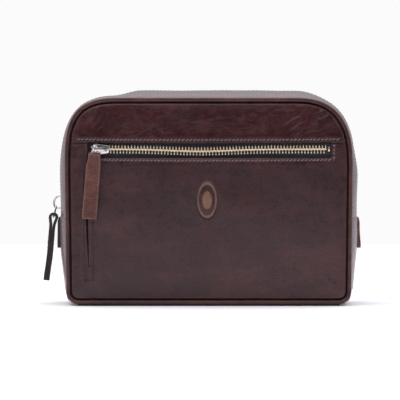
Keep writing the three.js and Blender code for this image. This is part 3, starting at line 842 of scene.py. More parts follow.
def wrinkles(x, z, cx, cz, reach, lean, pitch, height, seed):
    """A patch of nearly parallel creases."""
    c, s = math.cos(lean), math.sin(lean)
    u = (x - cx) * c + (z - cz) * s
    v = -(x - cx) * s + (z - cz) * c
    bent = v + 1.6 * MM * np.sin(u / (9 * MM) + seed) + 0.42 * pitch * waves(x, z, int(seed * 10), 15 * MM, 5)
    window = bell(u, reach) * bell(v, reach * 0.8)
    ridge = np.sin(bent / pitch * 2 * math.pi) * 0.7 + np.sin(bent / pitch * 3.1 * math.pi + seed) * 0.3
    patchy = 0.55 + 0.9 * waves(x, z, int(seed * 10) + 1, 20 * MM, 5)
    return height * window * ridge * np.clip(patchy, 0, 1.2)


MARK_X, MARK_Z = -1.5 * MM, 93.3 * MM
MARK_WIDE, MARK_HIGH = 8.6 * MM, 16.0 * MM


def mark_oval(scale, count):
    """The oval in the middle of the front, counter-clockwise, at a share of its size."""
    turn = np.linspace(0, 2 * math.pi, count)
    return np.stack([MARK_X + MARK_WIDE * scale * np.cos(turn), MARK_Z + MARK_HIGH * scale * np.sin(turn)], 1)


def front_relief(x, z):
    height = pinch(x, z, FRONT_SEAMS)
    height += 0.5 * MM * waves(x, z, 31, 55 * MM) * smoothstep(OUTLINE.depth(x, z), 3 * MM, 25 * MM)
    below = z - yoke_edge(x) + 0.7 * MM
    height -= 1.1 * MM * bell(below, MM) * (np.abs(x) > -WINDOW_LEFT)
    lip = np.abs(x - slit_x(z))
    beside = (z < WINDOW_BOTTOM) * smoothstep(z, SLIT_END_Z - 14 * MM, 70 * MM)
    height += 0.5 * MM * np.exp(-lip / (3 * MM)) * beside
    height += wrinkles(x, z, -104 * MM, 20 * MM, 12 * MM, 0.6, 4 * MM, 0.28 * MM, 1.0)
    height += wrinkles(x, z, 106 * MM, 22 * MM, 16 * MM, 2.4, 5 * MM, 0.3 * MM, 2.0)
    ring = np.hypot((x - MARK_X) / MARK_WIDE, (z - MARK_Z) / MARK_HIGH)
    height -= 0.32 * MM * smoothstep(ring, 1.07, 1.0) * (0.6 + 0.4 * smoothstep(ring, 0.7, 0.8))
    return height


def yoke_relief(x, z):
    height = pinch(x, z, [YOKE_SEAM])
    height += 0.45 * MM * waves(x, z, 33, 48 * MM) * smoothstep(OUTLINE.depth(x, z), 2 * MM, 18 * MM)
    height += wrinkles(x, z, 91 * MM, 164 * MM, 19 * MM, 0.66, 6.6 * MM, 0.8 * MM, 0.4)
    height += wrinkles(x, z, -96 * MM, 163 * MM, 13 * MM, 0.9, 5.6 * MM, 0.35 * MM, 2.2)
    return height


def front_panel():
    """One piece below the yoke, notched for the zip's window and the slit under its left end."""
    high = YOKE_EDGE_Z + 8 * MM
    low = WINDOW_BOTTOM
    slit_right = ((low / MM, 1.3), *((z, 0.8) for z in SLIT_HEIGHTS), (56, 0.5))
    slit_left = ((56, -0.4), *((z, -0.7) for z in SLIT_HEIGHTS[::-1]), (low / MM, -0.9))
    notch = [
        (WINDOW_RIGHT, high), (WINDOW_RIGHT, low + 1.2 * MM), (WINDOW_RIGHT - 1.2 * MM, low),
        *((slit_x(z * MM) + dx * MM, z * MM) for z, dx in slit_right),
        (slit_x(SLIT_END_Z), SLIT_END_Z),
        *((slit_x(z * MM) + dx * MM, z * MM) for z, dx in slit_left),
        (slit_x(low) - 0.9 * MM, high),
    ]
    border = np.vstack([panel_border(lambda z: z < high), notch])
    piece = leather_sheet("front_leather", front, border, BODY_LEATHER, PANEL_THICK, PANEL_ROLL,
                          step=2.5 * MM, relief=front_relief, lines=[*FRONT_SEAMS, mark_oval(1.04, 90)])
    finish_piece(piece, "front",
                 ("front_panel_lower", "front_pocket_panel", "front_side_strip"))


def yoke(x, z, h):
    """The front's surface with the yoke's lower edge raised over the zip."""
    near = smoothstep(OUTLINE.depth(x, z), 1 * MM, 5 * MM)
    return front(x, z, h + YOKE_STEP * near * smoothstep(z, YOKE_EDGE_Z + YOKE_STEP_REACH, YOKE_EDGE_Z))


def front_yoke():
    upper = panel_border(lambda z: z > YOKE_EDGE_Z)
    edge = [(x, yoke_edge(x)) for x in np.linspace(upper[-1, 0] + 3 * MM, upper[0, 0] - 3 * MM, 60)]
    piece = leather_sheet("front_yoke_leather", yoke, np.vstack([upper, edge]), YOKE_SHADED_LEATHER, PANEL_THICK,
                          PANEL_ROLL, step=1.8 * MM, relief=yoke_relief, lines=[YOKE_SEAM])
    finish_piece(piece, "front_flap", ("front_yoke",))


def back_relief(x, z):
    height = 0.6 * MM * waves(x, z, 41, 70 * MM) * smoothstep(OUTLINE.depth(x, z), 3 * MM, 25 * MM)
    height += wrinkles(x, z, -94 * MM, 160 * MM, 18 * MM, 0.8, 5.5 * MM, 0.25 * MM, 0.9)
    height += wrinkles(x, z, 90 * MM, 24 * MM, 18 * MM, 0.7, 6 * MM, 0.2 * MM, 2.9)
    return height


front_panel()
front_yoke()
finish_piece(
    leather_sheet("back_leather", back, panel_border(), BODY_LEATHER, PANEL_THICK, PANEL_ROLL,
                  relief=back_relief),
    "bag", ("back_panel",),
)


# ---------------------------------------------------------------- the oval mark

def mark():
    """A plain oval band and a plain oval in it, rubbed to a lighter tan."""
    def pressed(x, z, h):
        return front(x, z, h + front_relief(x, z) + 0.10 * MM)

    def oval(scale):
        return mark_oval(scale, 120)[:-1]

    for name, scale, step, holes in (
        ("front_mark_band", 1.0, 1.2 * MM, [oval(0.84)[::-1]]), ("front_mark_oval", 0.5, 1.4 * MM, []),
    ):
        piece = leather_sheet(name, pressed, oval(scale), MARK_LEATHER, 0.3 * MM, 0.12 * MM,
                              step=step, holes=holes, edge_step=0.9 * MM)
        finish_piece(piece, "front")


MARK_LEATHER = leather(
    "mark_leather", (0.11, 0.058, 0.032), (0.20, 0.105, 0.060), (0.30, 0.17, 0.10), 0.5, 0.06 * MM, crease=0.8,
    seed=5.0,
)
mark()


# ---------------------------------------------------------------- stitching

STITCH_LIFT = 0.22 * MM

def stitches(name, surface, seams, follow, length=2.7 * MM, gap=0.7 * MM, radius=0.42 * MM,
             slant=0.45, seed=1, thread=THREAD):
    """Thread along seams: each stitch dives into the leather at both ends."""
    rng = random.Random(seed)
    parts = []
    section = circle(radius, 6)
    t = np.linspace(0, 1, 6)
    h = STITCH_LIFT - 1.65 * radius * (1 - np.sin(t * math.pi) ** 0.5)
    for seam in seams:
        dense = resample(seam, 0.25 * MM, closed=False)
        total = np.linalg.norm(np.diff(dense, axis=0), axis=1).sum()
        spots = np.linspace(0, total, len(dense))
        at = gap
        while at + length < total:
            where = at + t * length + rng.uniform(-0.1, 0.1) * MM
            line = np.stack([np.interp(where, spots, dense[:, i]) for i in range(2)], 1)
            way = direction(line[0], line[-1])
            across = (t - 0.5) * length * (slant + rng.uniform(-0.05, 0.05))
            a, b = (line + np.outer(across, (-way[1], way[0]))).T
            points = surface(a, b, h)
            parts.append(sweep(points, surface(a, b, h + 1 * MM) - points, section))
            at += length + gap
    return finish_piece(merged(name, parts, thread), follow)


def on_front(x, z, h):
    return front(x, z, h + front_relief(x, z))


def on_yoke(x, z, h):
    return yoke(x, z, h + yoke_relief(x, z))


DARK_THREAD = woven("dark_thread", (0.006, 0.004, 0.005), (0.018, 0.013, 0.014), 0.35 * MM, 0.05 * MM, 0.6)

stitches("yoke_stitches", on_yoke, [YOKE_SEAM[3:-3]], "front_flap", seed=2)
stitches("window_stitches", on_front, [WINDOW_SEAM, END_SEAM], "front_flap", seed=3)
stitches("slit_stitches", on_front, [SLIT_SEAM_LEFT, SLIT_SEAM_RIGHT], "front", slant=0.1, seed=4,
         thread=DARK_THREAD)
stitches("bar_tack_stitches", on_front, [BAR_TACK, BAR_TACK + (0, 0.5 * MM)], "front", length=1.1 * MM,
         gap=0.3 * MM, radius=0.3 * MM, slant=0.1, seed=5, thread=DARK_THREAD)


# ---------------------------------------------------------------- gusset

ZIP_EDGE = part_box("gusset_strip_back")[0].y
S_RIGHT = OUTLINE.side(FOLD_Z, True)
S_LEFT = OUTLINE.side(FOLD_Z, False)
BASE_SEAM_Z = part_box("base_gusset")[1].z
BASE_RIGHT = OUTLINE.side(BASE_SEAM_Z, True)
BASE_LEFT = OUTLINE.side(BASE_SEAM_Z, False)
STRIP_SEAM_Y = ZIP_EDGE + 2.6 * MM
SIDE_OVERLAP = 0.4 * MM


def strip_relief(s, y):
    gap = np.abs(np.abs(y) - STRIP_SEAM_Y)
    height = -0.4 * MM * bell(gap, MM)
    height += 0.55 * MM * waves(s, y, 51, 46 * MM) * smoothstep(GUSSET_HALF - np.abs(y), 0, 14 * MM)
    corner_left = OUTLINE.side(TOP_Z - 30 * MM, False)
    corner_right = OUTLINE.side(TOP_Z - 30 * MM, True)
    for centre, seed in ((corner_left, 0.3), (corner_right, 1.9)):
        height += wrinkles(y, s, math.copysign(30 * MM, float(np.mean(y))), centre, 22 * MM, 0.15, 7 * MM,
                           0.28 * MM, seed)
    return height


def side_relief(s, y):
    height = 0.6 * MM * waves(s, y, 53, 44 * MM) * smoothstep(GUSSET_HALF - np.abs(y), 0, 14 * MM)
    return height + 0.25 * MM


def gusset_pieces():
    edge = GUSSET_HALF + 0.6 * MM
    for name, low, high, follow, nodes in (
        ("gusset_back", ZIP_EDGE, edge, "bag", ("gusset_strip_back",)),
        ("gusset_front", -edge, -ZIP_EDGE, "gusset",
         ("gusset_strip_front", "gusset_strip_foot_left", "gusset_strip_foot_right")),
    ):
        y = math.copysign(STRIP_SEAM_Y, low + high)
        border = rectangle(S_RIGHT - 1 * MM, S_LEFT + 1 * MM, low, high)
        piece = leather_sheet(name + "_leather", gusset, border, BODY_LEATHER, 2.1 * MM, 0.8 * MM,
                              relief=strip_relief, lines=[[(S_RIGHT, y), (S_LEFT, y)]])
        finish_piece(piece, follow, nodes)
        stitches(name + "_stitches", lambda s, y, h: gusset(s, y, h + strip_relief(s, y)),
                 [[(S_RIGHT + 3 * MM, y), (S_LEFT - 3 * MM, y)]], follow, seed=len(name + "_leather"))
    for name, low, high, node in (
        ("side_leather_right", BASE_RIGHT, S_RIGHT + 5 * MM, "side_gusset_right"),
        ("side_leather_left", S_LEFT - 5 * MM, BASE_LEFT, "side_gusset_left"),
    ):
        piece = leather_sheet(name, lambda s, y, h: gusset(s, y, h + SIDE_OVERLAP),
                              rectangle(low, high, -edge, edge), BODY_LEATHER, PANEL_THICK, PANEL_ROLL,
                              relief=side_relief)
        finish_piece(piece, "gusset", (node,))
    s_low = BASE_LEFT - 2 * MM - OUTLINE.length
    piece = leather_sheet("base_leather", gusset, rectangle(s_low, BASE_RIGHT + 2 * MM, -edge, edge),
                          BODY_LEATHER, 2.2 * MM, 0.8 * MM, step=4 * MM)
    finish_piece(piece, "bag", ("base_gusset",))


gusset_pieces()


# ---------------------------------------------------------------- zips

MAIN_TEETH_H = -3.5 * MM
MAIN_TAPE_H = -4.9 * MM
PITCH = 2.8 * MM
CORD_PLACE = 4.6 * MM
POCKET_TAPE_WIDE = 15.5 * MM
TOOTH_PROFILE = (
    (-0.85, 0.48, 0.75), (-0.6, 0.80, 1.0), (0.45, 0.84, 1.15), (0.85, 0.66, 1.1), (1.4, 0.58, 1.15),
    (2.8, 0.60, 1.25), (3.6, 0.60, 1.2), (3.95, 0.42, 0.9),
)


def tooth(centre, along, across, up):
    """One element: a bar clamped on the tape with its nose past the middle line."""
    vertices = []
    for place, half, tall in TOOTH_PROFILE:
        section = rounded_box(half * MM, tall * MM, 0.35 * MM, 2)
        vertices.extend(centre + across * place * MM + section @ np.array([along, up]))
    return vertices, ring_faces(len(TOOTH_PROFILE), len(section))


def zip_z(x):
    """The pocket zip's middle line, sagging a little left of the middle."""
    return ZIP_Z + 0.5 * MM - 1.9 * MM * bell(x + 8 * MM, 36 * MM)


def tooth_row(name, sign, start, end, pitch, wobble, rng, frame_at, follow, nodes):
    """One side of a chain: elements at equal steps, half a step behind those of the other side."""
    at = start + (0 if sign > 0 else pitch / 2)
    parts = []
    while at < end:
        parts.append(tooth(*frame_at(at, sign, rng.uniform(-wobble, wobble))))
        at += pitch
    finish_piece(merged(name, parts, GOLD), follow, nodes)


def cord(gap):
    """The ridge along a zip's tape, by distance from the middle of the chain."""
    return 0.5 * MM * bell(gap - CORD_PLACE, 0.8 * MM)


def pocket_frame(x, sign, shake):
    """Middle, direction, nose direction and upward direction of an element of the pocket zip."""
    along = direction((x - MM, 0, zip_z(x - MM)), (x + MM, 0, zip_z(x + MM)))
    across = np.array([-along[2], 0, along[0]]) * sign
    return np.array([x, -ZIP_Y - 0.4 * MM, zip_z(x) + shake]), along, across, np.array([0, -1, 0])


def pocket_tape(x, z, h):
    return xyz(x, -(ZIP_Y - 0.3 * MM + h + 0.25 * MM * waves(x, z, 61, 30 * MM)), z)


def pocket_zip():
    low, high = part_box("pocket_zip_teeth_upper")
    rng = random.Random(8)
    for side, sign in (("upper", 1), ("lower", -1)):
        tooth_row("pocket_teeth_" + side, sign, low.x + 10 * MM, high.x + 0.8 * MM, PITCH, 0.05 * MM, rng,
                  pocket_frame, "front_flap", ("pocket_zip_teeth_" + side,))
    xs = np.linspace(WINDOW_LEFT - 3 * MM, WINDOW_RIGHT + 3 * MM, 40)
    for side, sign in (("upper", 1), ("lower", -1)):
        inner = [(x, zip_z(x) + sign * 0.25 * MM) for x in xs]
        outer = [(x, ZIP_Z + sign * POCKET_TAPE_WIDE) for x in xs]
        border = inner + outer[::-1] if sign > 0 else outer + inner[::-1]
        piece = leather_sheet("pocket_tape_" + side, pocket_tape, border, TAPE, 0.5 * MM, 0.15 * MM,
                              step=2.5 * MM, relief=lambda x, z: cord(np.abs(z - zip_z(x))),
                              lines=[[(x, zip_z(x) + sign * CORD_PLACE) for x in xs]])
        finish_piece(piece, "front_flap", ("pocket_zip_tape_" + side,))


def main_frame(s, sign, shake):
    """The same for an element of the main zip, which runs over the top."""
    at, y = np.array([s]), np.array([sign * 0.1 * MM + shake])
    centre, ahead, above = (
        gusset(at + ds, y, np.array([h]))[0] for ds, h in ((0, MAIN_TEETH_H), (MM, MAIN_TEETH_H), (0, MM))
    )
    along = direction(centre, ahead)
    across = np.array([0, sign, 0])
    up = np.cross(along, across)
    return centre, along, across, up if up @ (above - centre) > 0 else -up


def main_tape(s, y, h):
    """Flat across, at the height of the middle of the gusset."""
    return gusset(s, np.zeros_like(s), h + MAIN_TAPE_H) + xyz(0 * s, y, 0)


def main_zip():
    rng = random.Random(9)
    start = OUTLINE.side(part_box("main_zip_teeth_foot_right")[0].z, True)
    end = OUTLINE.side(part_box("main_slider_top")[0].z + 11 * MM, False)
    sides = (("back", 1, "bag", ("back",)), ("front", -1, "gusset", ("front", "foot_left", "foot_right")))
    for side, sign, follow, ends in sides:
        tooth_row("main_teeth_" + side, sign, start, end, PITCH, 0.04 * MM, rng, main_frame, follow,
                  ["main_zip_teeth_" + end_name for end_name in ends])
    for side, sign, follow, ends in sides:
        low, high = sorted((sign * 0.25 * MM, sign * 16 * MM))
        y = sign * CORD_PLACE
        piece = leather_sheet("main_tape_" + side, main_tape, rectangle(S_RIGHT, S_LEFT, low, high), TAPE,
                              0.5 * MM, 0.15 * MM, relief=lambda s, y: cord(np.abs(y)),
                              lines=[[(S_RIGHT, y), (S_LEFT, y)]])
        finish_piece(piece, follow, ["main_zip_tape_" + end_name for end_name in ends])


pocket_zip()
main_zip()

NUGGET_PROFILE = ((-1, 0.72), (-0.86, 0.93), (-0.5, 1.0), (0, 0.93), (0.5, 1.0), (0.86, 0.93), (1, 0.72))


def nugget(node, body, along, metal_look=GOLD, share=1.0):
    """A crimped metal stop: a rounded block with a waist, along x (0) or z (2)."""
    low, high = np.array(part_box(node))
    centre, half = (low + high) / 2, (high - low) / 2 * share
    p, q = (i for i in range(3) if i != along)
    vertices = []
    for t, wide in NUGGET_PROFILE:
        section = rounded_box(half[p] * wide, half[q] * wide, 0.45 * MM, 3)
        ring = np.repeat(centre[None], len(section), 0)
        ring[:, along] += t * half[along]
        ring[:, [p, q]] += section
        vertices.extend(ring)
    faces = ring_faces(len(NUGGET_PROFILE), len(section))
    finish_piece(new_piece(node + "_crimp", vertices, faces, metal_look), body, (node,))


nugget("pocket_zip_top_stop_upper", "front_flap", 0, SILVER)
nugget("pocket_zip_top_stop_lower", "front_flap", 0, SILVER)
nugget("pocket_zip_bottom_stop", "front_flap", 0, share=0.6)
for end_name in ("top_stop_front", "top_stop_back", "bottom_stop"):
    nugget("main_zip_" + end_name, "bag", 2)


PLATE_HALF = (
    (-7.4, 0.0), (-7.3, 2.4), (-6.7, 4.1), (-5.2, 4.9), (-2.8, 4.9), (0.5, 4.35), (4.0, 3.9), (6.6, 3.6),
    (7.4, 2.6), (7.5, 0.0),
)
CROWN_PATH = (
    (-5.9, -0.4), (-6.3, 2.4), (-6.1, 4.6), (-5.2, 6.0), (-3.2, 6.6), (-0.6, 6.4), (1.8, 5.6), (3.6, 4.0),
    (4.5, 1.9), (4.8, -0.4),
)
LOWER_PLATE = -4.9
POCKET_PLATE_Y = -53.55 * MM
MAIN_PLATE_SINK = 1.5 * MM


def slider(name, origin, tail, across, out, body, nodes, shift):
    """Shield-shaped plates with side walls, and a bridge that holds the ring."""
    origin, tail, across, out = (np.array(v, float) for v in (origin, tail, across, out))

    def place(u, v, h):
        return (origin + np.multiply.outer(np.asarray(u), tail) + np.multiply.outer(np.asarray(v), across)
                + np.multiply.outer(np.asarray(h), out))

    half = np.array(PLATE_HALF) * MM
    outline = np.vstack([half * (1, -1), half[-2:0:-1]])
    border = resample(outline, 0.5 * MM)
    for _ in range(3):
        border = (np.roll(border, 1, 0) + border * 2 + np.roll(border, -1, 0)) / 4

    def dome(u, v):
        return 0.35 * MM * (1 - (v / (5 * MM)) ** 2)

    plate = leather_sheet(name + "_plate", place, border, SILVER, 1.3 * MM, 0.5 * MM, step=0.8 * MM,
                          relief=dome, edge_step=0.45 * MM)
    finish_piece(plate, body, (nodes[0],))

    def below(u, v, h):
        return place(u, v, LOWER_PLATE * MM - 1.3 * MM - h)

    under = leather_sheet(name + "_under_plate", below, border, SILVER, 1.2 * MM, 0.4 * MM, step=0.9 * MM,
                          edge_step=0.5 * MM)
    finish_piece(under, body, (nodes[1],))
    parts = []
    for side in (-1, 1):
        u = np.linspace(-5.4, 6.9, 16) * MM
        v = side * np.interp(u, half[:, 0], half[:, 1]) - side * 0.62 * MM
        points = place(u, v, np.full(16, -1.9 * MM))
        parts.append(sweep(points, out, rounded_box(0.5 * MM, 0.9 * MM, 0.25 * MM, 2)))
    path = resample(np.array(CROWN_PATH) * MM, 0.45 * MM, closed=False)
    for _ in range(4):
        path[1:-1] = (path[:-2] + path[1:-1] * 2 + path[2:]) / 4
    points = place(path[:, 0] + shift, np.zeros(len(path)), path[:, 1])
    way = np.gradient(path, axis=0)
    ups = np.multiply.outer(-way[:, 1], tail) + np.multiply.outer(way[:, 0], out)
    t = np.linspace(0, 1, len(path))
    wide = (1.45 + 0.65 * np.abs(2 * t - 1) ** 2) * MM
    thick = (0.78 + 0.10 * np.sin(t * math.pi)) * MM
    section = np.array([rounded_box(w, k, 0.4 * MM, 3) for w, k in zip(wide, thick)])
    parts.append(sweep(points, ups, section))
    finish_piece(merged(name + "_crown", parts, SILVER), body)


def wire_ring(name, pivot, down, across, outline, body, node):
    """A bent wire loop, through (across, down) points in millimetres from the pivot."""
    pivot, down, across = (np.array(v, float) for v in (pivot, down, across))
    loop = resample(np.array(outline) * MM, 0.35 * MM)
    for _ in range(5):
        loop = (np.roll(loop, 1, 0) + loop * 2 + np.roll(loop, -1, 0)) / 4
    points = pivot + np.multiply.outer(loop[:, 0], across) + np.multiply.outer(loop[:, 1], down)
    vertices, faces = sweep(points, np.cross(across, down), circle(0.78 * MM, 12), closed=True)
    return finish_piece(new_piece(name, vertices, faces, SILVER), body, (node,))


def sliders():
    low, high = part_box("pocket_slider_top")
    slider("pocket_slider", ((low.x + high.x) / 2, POCKET_PLATE_Y, ZIP_Z + 0.4 * MM), (1, 0, 0), (0, 0, 1),
           (0, -1, 0), "pocket_slider", ("pocket_slider_top", "pocket_slider_back"), 0.0)
    ring, bar = JOINT["pocket_ring_swing"]["pos_m"], JOINT["pocket_pull_lift"]["pos_m"]
    down = direction(ring, bar)
    wire_ring("pocket_ring_wire", ring, down, np.cross((0, -1, 0), down),
              ((-1.5, -2.8), (1.5, -2.8), (3.2, 7.0), (-3.2, 7.0)), "pocket_ring", "pocket_ring")
    low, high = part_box("main_slider_top")
    slider("main_slider", (high.x - MAIN_PLATE_SINK, 0, (low.z + high.z) / 2), (0, 0, 1), (0, 1, 0),
           (-1, 0, 0), "main_slider", ("main_slider_top", "main_slider_back"), 2.2 * MM)
    ring, bar = JOINT["main_ring_swing"]["pos_m"], JOINT["main_pull_swing"]["pos_m"]
    down = direction(ring, bar)
    length = np.linalg.norm(np.array(bar) - np.array(ring)) / MM
    wire_ring("main_ring_wire", ring, down, (0, 1, 0),
              ((-2.2, 0.0), (2.2, 0.0), (3.0, length), (-3.0, length)), "main_ring", "main_ring")


sliders()


# ---------------------------------------------------------------- pull tabs

STRAP_THICK = 2.0 * MM
PULL_LENGTH = 54.5 * MM
FOLD_PROFILE = (
    (2.15, 11.0), (2.2, 8.5), (2.4, 6.4), (2.85, 4.4), (3.45, 2.4), (3.9, 0.9), (3.98, -0.6),
    (3.55, -2.0), (2.55, -3.2), (1.2, -3.85), (0.0, -4.0),
)


def strap_path(length, bow, fuller):
    """Outer face of a strap folded over a bar: (out, down) from the bar's middle."""
    plain = [length / MM, *np.linspace(length / MM - 2, 12, 20)]
    half = [(2.15, d) for d in plain] + list(FOLD_PROFILE)
    half = [(n + fuller / MM * min(1, max(0, d + 4) / 8), d) for n, d in half]
    points = np.array(half + [(-n, d) for n, d in half[-2::-1]]) * MM
    points = resample(points, 0.3 * MM, closed=False)
    for _ in range(6):
        points[1:-1] = (points[:-2] + points[1:-1] * 2 + points[2:]) / 4
    down = np.maximum(points[:, 1], 0)
    points[:, 0] += bow * (down / length) ** 2 + 0.25 * MM * np.sin(down / (7 * MM))
    return points


def strap(name, origin, across, down, out, body, bow, leather_material, node, length, fuller):
    origin, across, down, out = (np.array(v, float) for v in (origin, across, down, out))
    path = strap_path(length, bow, fuller)
    at = np.concatenate([[0], np.cumsum(np.linalg.norm(np.diff(path, axis=0), axis=1))])
    normal = left_of(path)
    if normal[0, 0] < 0:
        normal = -normal

    def surface(a, b, h):
        n = np.interp(b, at, path[:, 0]) + np.interp(b, at, normal[:, 0]) * h
        d = np.interp(b, at, path[:, 1]) + np.interp(b, at, normal[:, 1]) * h
        return origin + np.multiply.outer(a, across) + np.multiply.outer(d, down) + np.multiply.outer(n, out)

    def half_width(d):
        return 5.2 * MM + 1.1 * MM * smoothstep(d, 0, 9 * MM) + 0.2 * MM * smoothstep(d, 9 * MM, length)

    spots = np.linspace(0, at[-1], 120)
    half = half_width(np.interp(spots, at, path[:, 1]))
    uneven = 0.12 * MM * waves(spots, spots * 0, 71, 11 * MM)
    border = list(zip(half + uneven, spots)) + list(zip(-(half - uneven)[::-1], spots[::-1]))
    middle = at[-1] / 2
    turn = np.linspace(0, 2 * math.pi, 25)[:-1][::-1]
    holes = [
        np.stack([side * 2.3 * MM + 1.25 * MM * np.cos(turn), middle + 3.2 * MM * np.sin(turn)], 1)
        for side in (-1, 1)
    ]

    def creases(a, b):
        d = np.interp(b, at, path[:, 1])
        fade = smoothstep(d, 4 * MM, 10 * MM)
        height = 0.17 * MM * waves(a * 0.3, b, 73, 3.0 * MM) * fade
        height += 0.06 * MM * waves(a, b, 74, 2.2 * MM) * fade
        height += wrinkles(a, b, 0, at[-1] * 0.27, 16 * MM, 1.5, 2.3 * MM, 0.2 * MM, 1.2)
        return height

    piece = leather_sheet(name, surface, border, leather_material, STRAP_THICK + fuller, 0.45 * MM,
                          step=0.9 * MM, holes=holes, relief=creases, edge_step=0.8 * MM)
    return finish_piece(piece, body, node)


def pulls():
    pocket_ring = JOINT["pocket_ring_swing"]["pos_m"]
    pocket_bar = JOINT["pocket_pull_lift"]["pos_m"]
    down = direction(pocket_ring, pocket_bar)
    out = np.array([0, -1, 0])
    strap("pocket_pull_strap", pocket_bar, np.cross(out, down), down, out, "pocket_pull",
          0.2 * MM, TAB_LEATHER, ("pocket_pull_tab",), PULL_LENGTH, 0.0)
    bar = JOINT["main_pull_swing"]["pos_m"]
    low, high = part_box("main_pull_tab")
    tip = ((low.x + 2.3 * MM), 0, low.z)
    down = direction(bar, tip)
    across = np.array([0, 1, 0])
    out = np.cross(down, across)
    if out[0] > 0:
        out, across = -out, -across
    strap("main_pull_strap", bar, across, down, out, "main_pull", 0.3 * MM, EDGE_LEATHER,
          ("main_pull_tab",), PULL_LENGTH + 2 * MM, 0.45 * MM)


pulls()


# ---------------------------------------------------------------- end tabs

def end_tab(name, side, node, body, tip, leather_material):
    """A short leather strip over each end of the main zip, its tip bent slightly outward."""
    low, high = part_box(node)
    x0 = low.x if side > 0 else high.x
    lift = 1.2 * MM

    def surface(y, z, h):
        bend = tip * smoothstep(z, low.z + 18 * MM, low.z) - 0.9 * MM * smoothstep(z, high.z - 5 * MM, high.z)
        return xyz(x0 + side * (lift + STRAP_THICK + h + bend + 0.1 * MM * waves(y, z, 81, 12 * MM)), y, z)

    wide = high.y - 0.3 * MM
    border = [(-wide, high.z), (-wide, low.z + 3 * MM)]
    turn = np.linspace(math.pi, 2 * math.pi, 15)
    border += [(wide * math.cos(a), low.z + 3 * MM + 3 * MM * math.sin(a)) for a in turn]
    border += [(wide, low.z + 3 * MM), (wide, high.z)]
    piece = leather_sheet(name, surface, border, leather_material, STRAP_THICK + lift, 0.6 * MM,
                          step=1.2 * MM, edge_step=1 * MM)
    return finish_piece(piece, body, (node,))


end_tab("end_tab_leather_left", -1, "zip_end_tab_left", "end_tab_left", 0.2 * MM, EDGE_LEATHER)
end_tab("end_tab_leather_right", 1, "zip_end_tab_right", "end_tab_right", 1.0 * MM, TAB_LEATHER)


# ---------------------------------------------------------------- lining and board

LINING_THICK = 0.5 * MM
LINING_GAP = -3.9 * MM


def wall(y, seed):
    """An upright cloth at a depth, its thickness toward the middle of the bag."""
    inward = -math.copysign(1, y)
    return lambda x, z, h: xyz(x, y + inward * h + 0.5 * MM * waves(x, z, seed, 40 * MM), z)


def band(s, y, h):
    place = OUTLINE.place(s, LINING_GAP - h + 0.6 * MM * waves(s, y, 93, 45 * MM))
    return xyz(place[..., 0], y, place[..., 1])


def cloth(name, surface, border, body, nodes=()):
    piece = leather_sheet(name, surface, border, LINING, LINING_THICK, 0.2 * MM, step=5 * MM)
    finish_piece(piece, body, nodes)


def lining_pieces():
    low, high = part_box("lining_body")
    inner = OUTLINE.points + OUTLINE.normals * LINING_GAP
    cloth("lining_back_cloth", wall(high.y - 0.9 * MM, 91), inner, "bag", ("lining_body",))
    cloth("lining_front_cloth", wall(low.y + 0.9 * MM, 92), inner, "front", ("lining_front",))
    reach = high.y - 1 * MM
    for side, y0, y1, body in (("back", 8 * MM, reach, "bag"), ("front", -reach, -8 * MM, "gusset")):
        cloth("lining_gusset_" + side + "_cloth", band, rectangle(S_RIGHT, S_LEFT, y0, y1),
              body)
    start = S_LEFT - OUTLINE.length
    cloth("lining_base_cloth", band, rectangle(start, S_RIGHT, -reach, reach),
          "gusset")

    low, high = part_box("pocket_lining_lower")
    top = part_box("pocket_lining_upper")[1].z
    cloth("pocket_back_cloth", wall(low.y, 94), rectangle(low.x, high.x, low.z, top),
          "front", ("pocket_lining_lower", "pocket_lining_upper"))

    low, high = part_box("base_board")

    def board(x, y, h):
        return xyz(x, y, high.z + h + 0.15 * MM * waves(x, y, 95, 60 * MM))

    piece = leather_sheet("base_board_cover", board, rounded_box(high.x, high.y, 6 * MM, 6), LINING,
                          high.z - low.z, 0.5 * MM, step=5 * MM)
    finish_piece(piece, "bag", ("base_board",))


lining_pieces()


# ---------------------------------------------------------------- stage, light and camera

FLOOR_TONE = (0.88, 0.88, 0.88)
WORLD_LOW = 0.05
WORLD_HIGH = 1.5
WORLD_BEHIND = 0.62
WORLD_TINT = (0.97, 0.93, 1.0)
WORLD_SEEN = (0.966, 0.966, 0.966)
CENTRE = (0, 0, 0.09)
LIGHTS = (
    ("key", (-0.5, -1.1, 1.3), CENTRE, (1.0, 0.8), 6, (1, 0.985, 0.98)),
    ("top", (0.0, 0.25, 1.2), CENTRE, (1.6, 0.8), 2.5, (0.97, 0.96, 1.0)),
    ("left_rim", (-1.1, 0.25, 0.3), CENTRE, (0.5, 0.7), 3.5, (0.95, 0.94, 1.0)),
    ("right_rim", (1.1, 0.25, 0.3), CENTRE, (0.5, 0.7), 3.0, (0.95, 0.94, 1.0)),
    ("low_front", (0.05, -1.6, 0.02), (0, 0, 0.05), (1.0, 0.16), 0.6, (0.86, 0.90, 1.0)),
)
VIEW_DISTANCE = 4.6
VIEW_WIDTH = 0.352
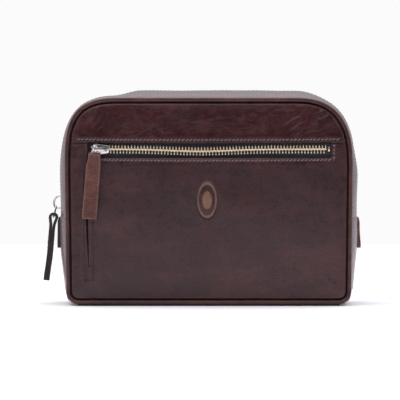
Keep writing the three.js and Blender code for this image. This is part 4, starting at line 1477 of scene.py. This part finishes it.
VIEW_RISE = math.radians(1.4)
VIEW_TARGET = Vector((-0.0077, -0.05, 0.0933))
SENSOR = 36


def aimed(name, data, place, target):
    """A light or camera in the scene, pointing at a target."""
    made = bpy.data.objects.new(name, data)
    bpy.context.scene.collection.objects.link(made)
    made.location = place
    made.rotation_euler = (Vector(target) - Vector(place)).to_track_quat("-Z", "Y").to_euler()
    return made


def studio():
    bpy.ops.mesh.primitive_plane_add(size=3.2)
    floor = bpy.context.object
    floor.name = "stage_floor"
    floor.data.materials.append(
        material("stage_white").finish(Base_Color=FLOOR_TONE, Roughness=0.9, Specular_IOR_Level=0.1))

    world = bpy.data.worlds.new("studio")
    bpy.context.scene.world = world
    n = Nodes(world, "Generated")
    split = n.add("ShaderNodeSeparateXYZ", {0: n.coordinates})
    overhead = n.remap(split.outputs["Z"], 0.25, 0.75, WORLD_LOW, WORLD_HIGH, "SMOOTHSTEP")
    behind = n.remap(split.outputs["Y"], 0.1, 0.7, 0.0, WORLD_BEHIND, "SMOOTHSTEP")
    seen = n.add("ShaderNodeLightPath").outputs["Is Camera Ray"]
    background = n.tree.nodes["Background"]
    strength = n.add("ShaderNodeMix", {"Factor": seen, "A": n.math("ADD", overhead, behind), "B": 1.0})
    n.put(background.inputs["Strength"], strength.outputs["Result"])
    n.put(background.inputs["Color"], n.mix(seen, WORLD_TINT, WORLD_SEEN))

    for name, place, target, size, power, colour in LIGHTS:
        data = bpy.data.lights.new(name, "AREA")
        data.shape = "RECTANGLE"
        data.size, data.size_y = size
        data.energy = power
        data.color = colour
        aimed(name, data, place, target)

    data = bpy.data.cameras.new("camera")
    data.sensor_width = SENSOR
    data.lens = SENSOR * VIEW_DISTANCE / VIEW_WIDTH
    data.clip_end = 50
    place = VIEW_TARGET + Vector((0, -math.cos(VIEW_RISE), math.sin(VIEW_RISE))) * VIEW_DISTANCE
    bpy.context.scene.camera = aimed("camera", data, place, VIEW_TARGET)
    bpy.context.scene.view_settings.view_transform = "Standard"


studio()
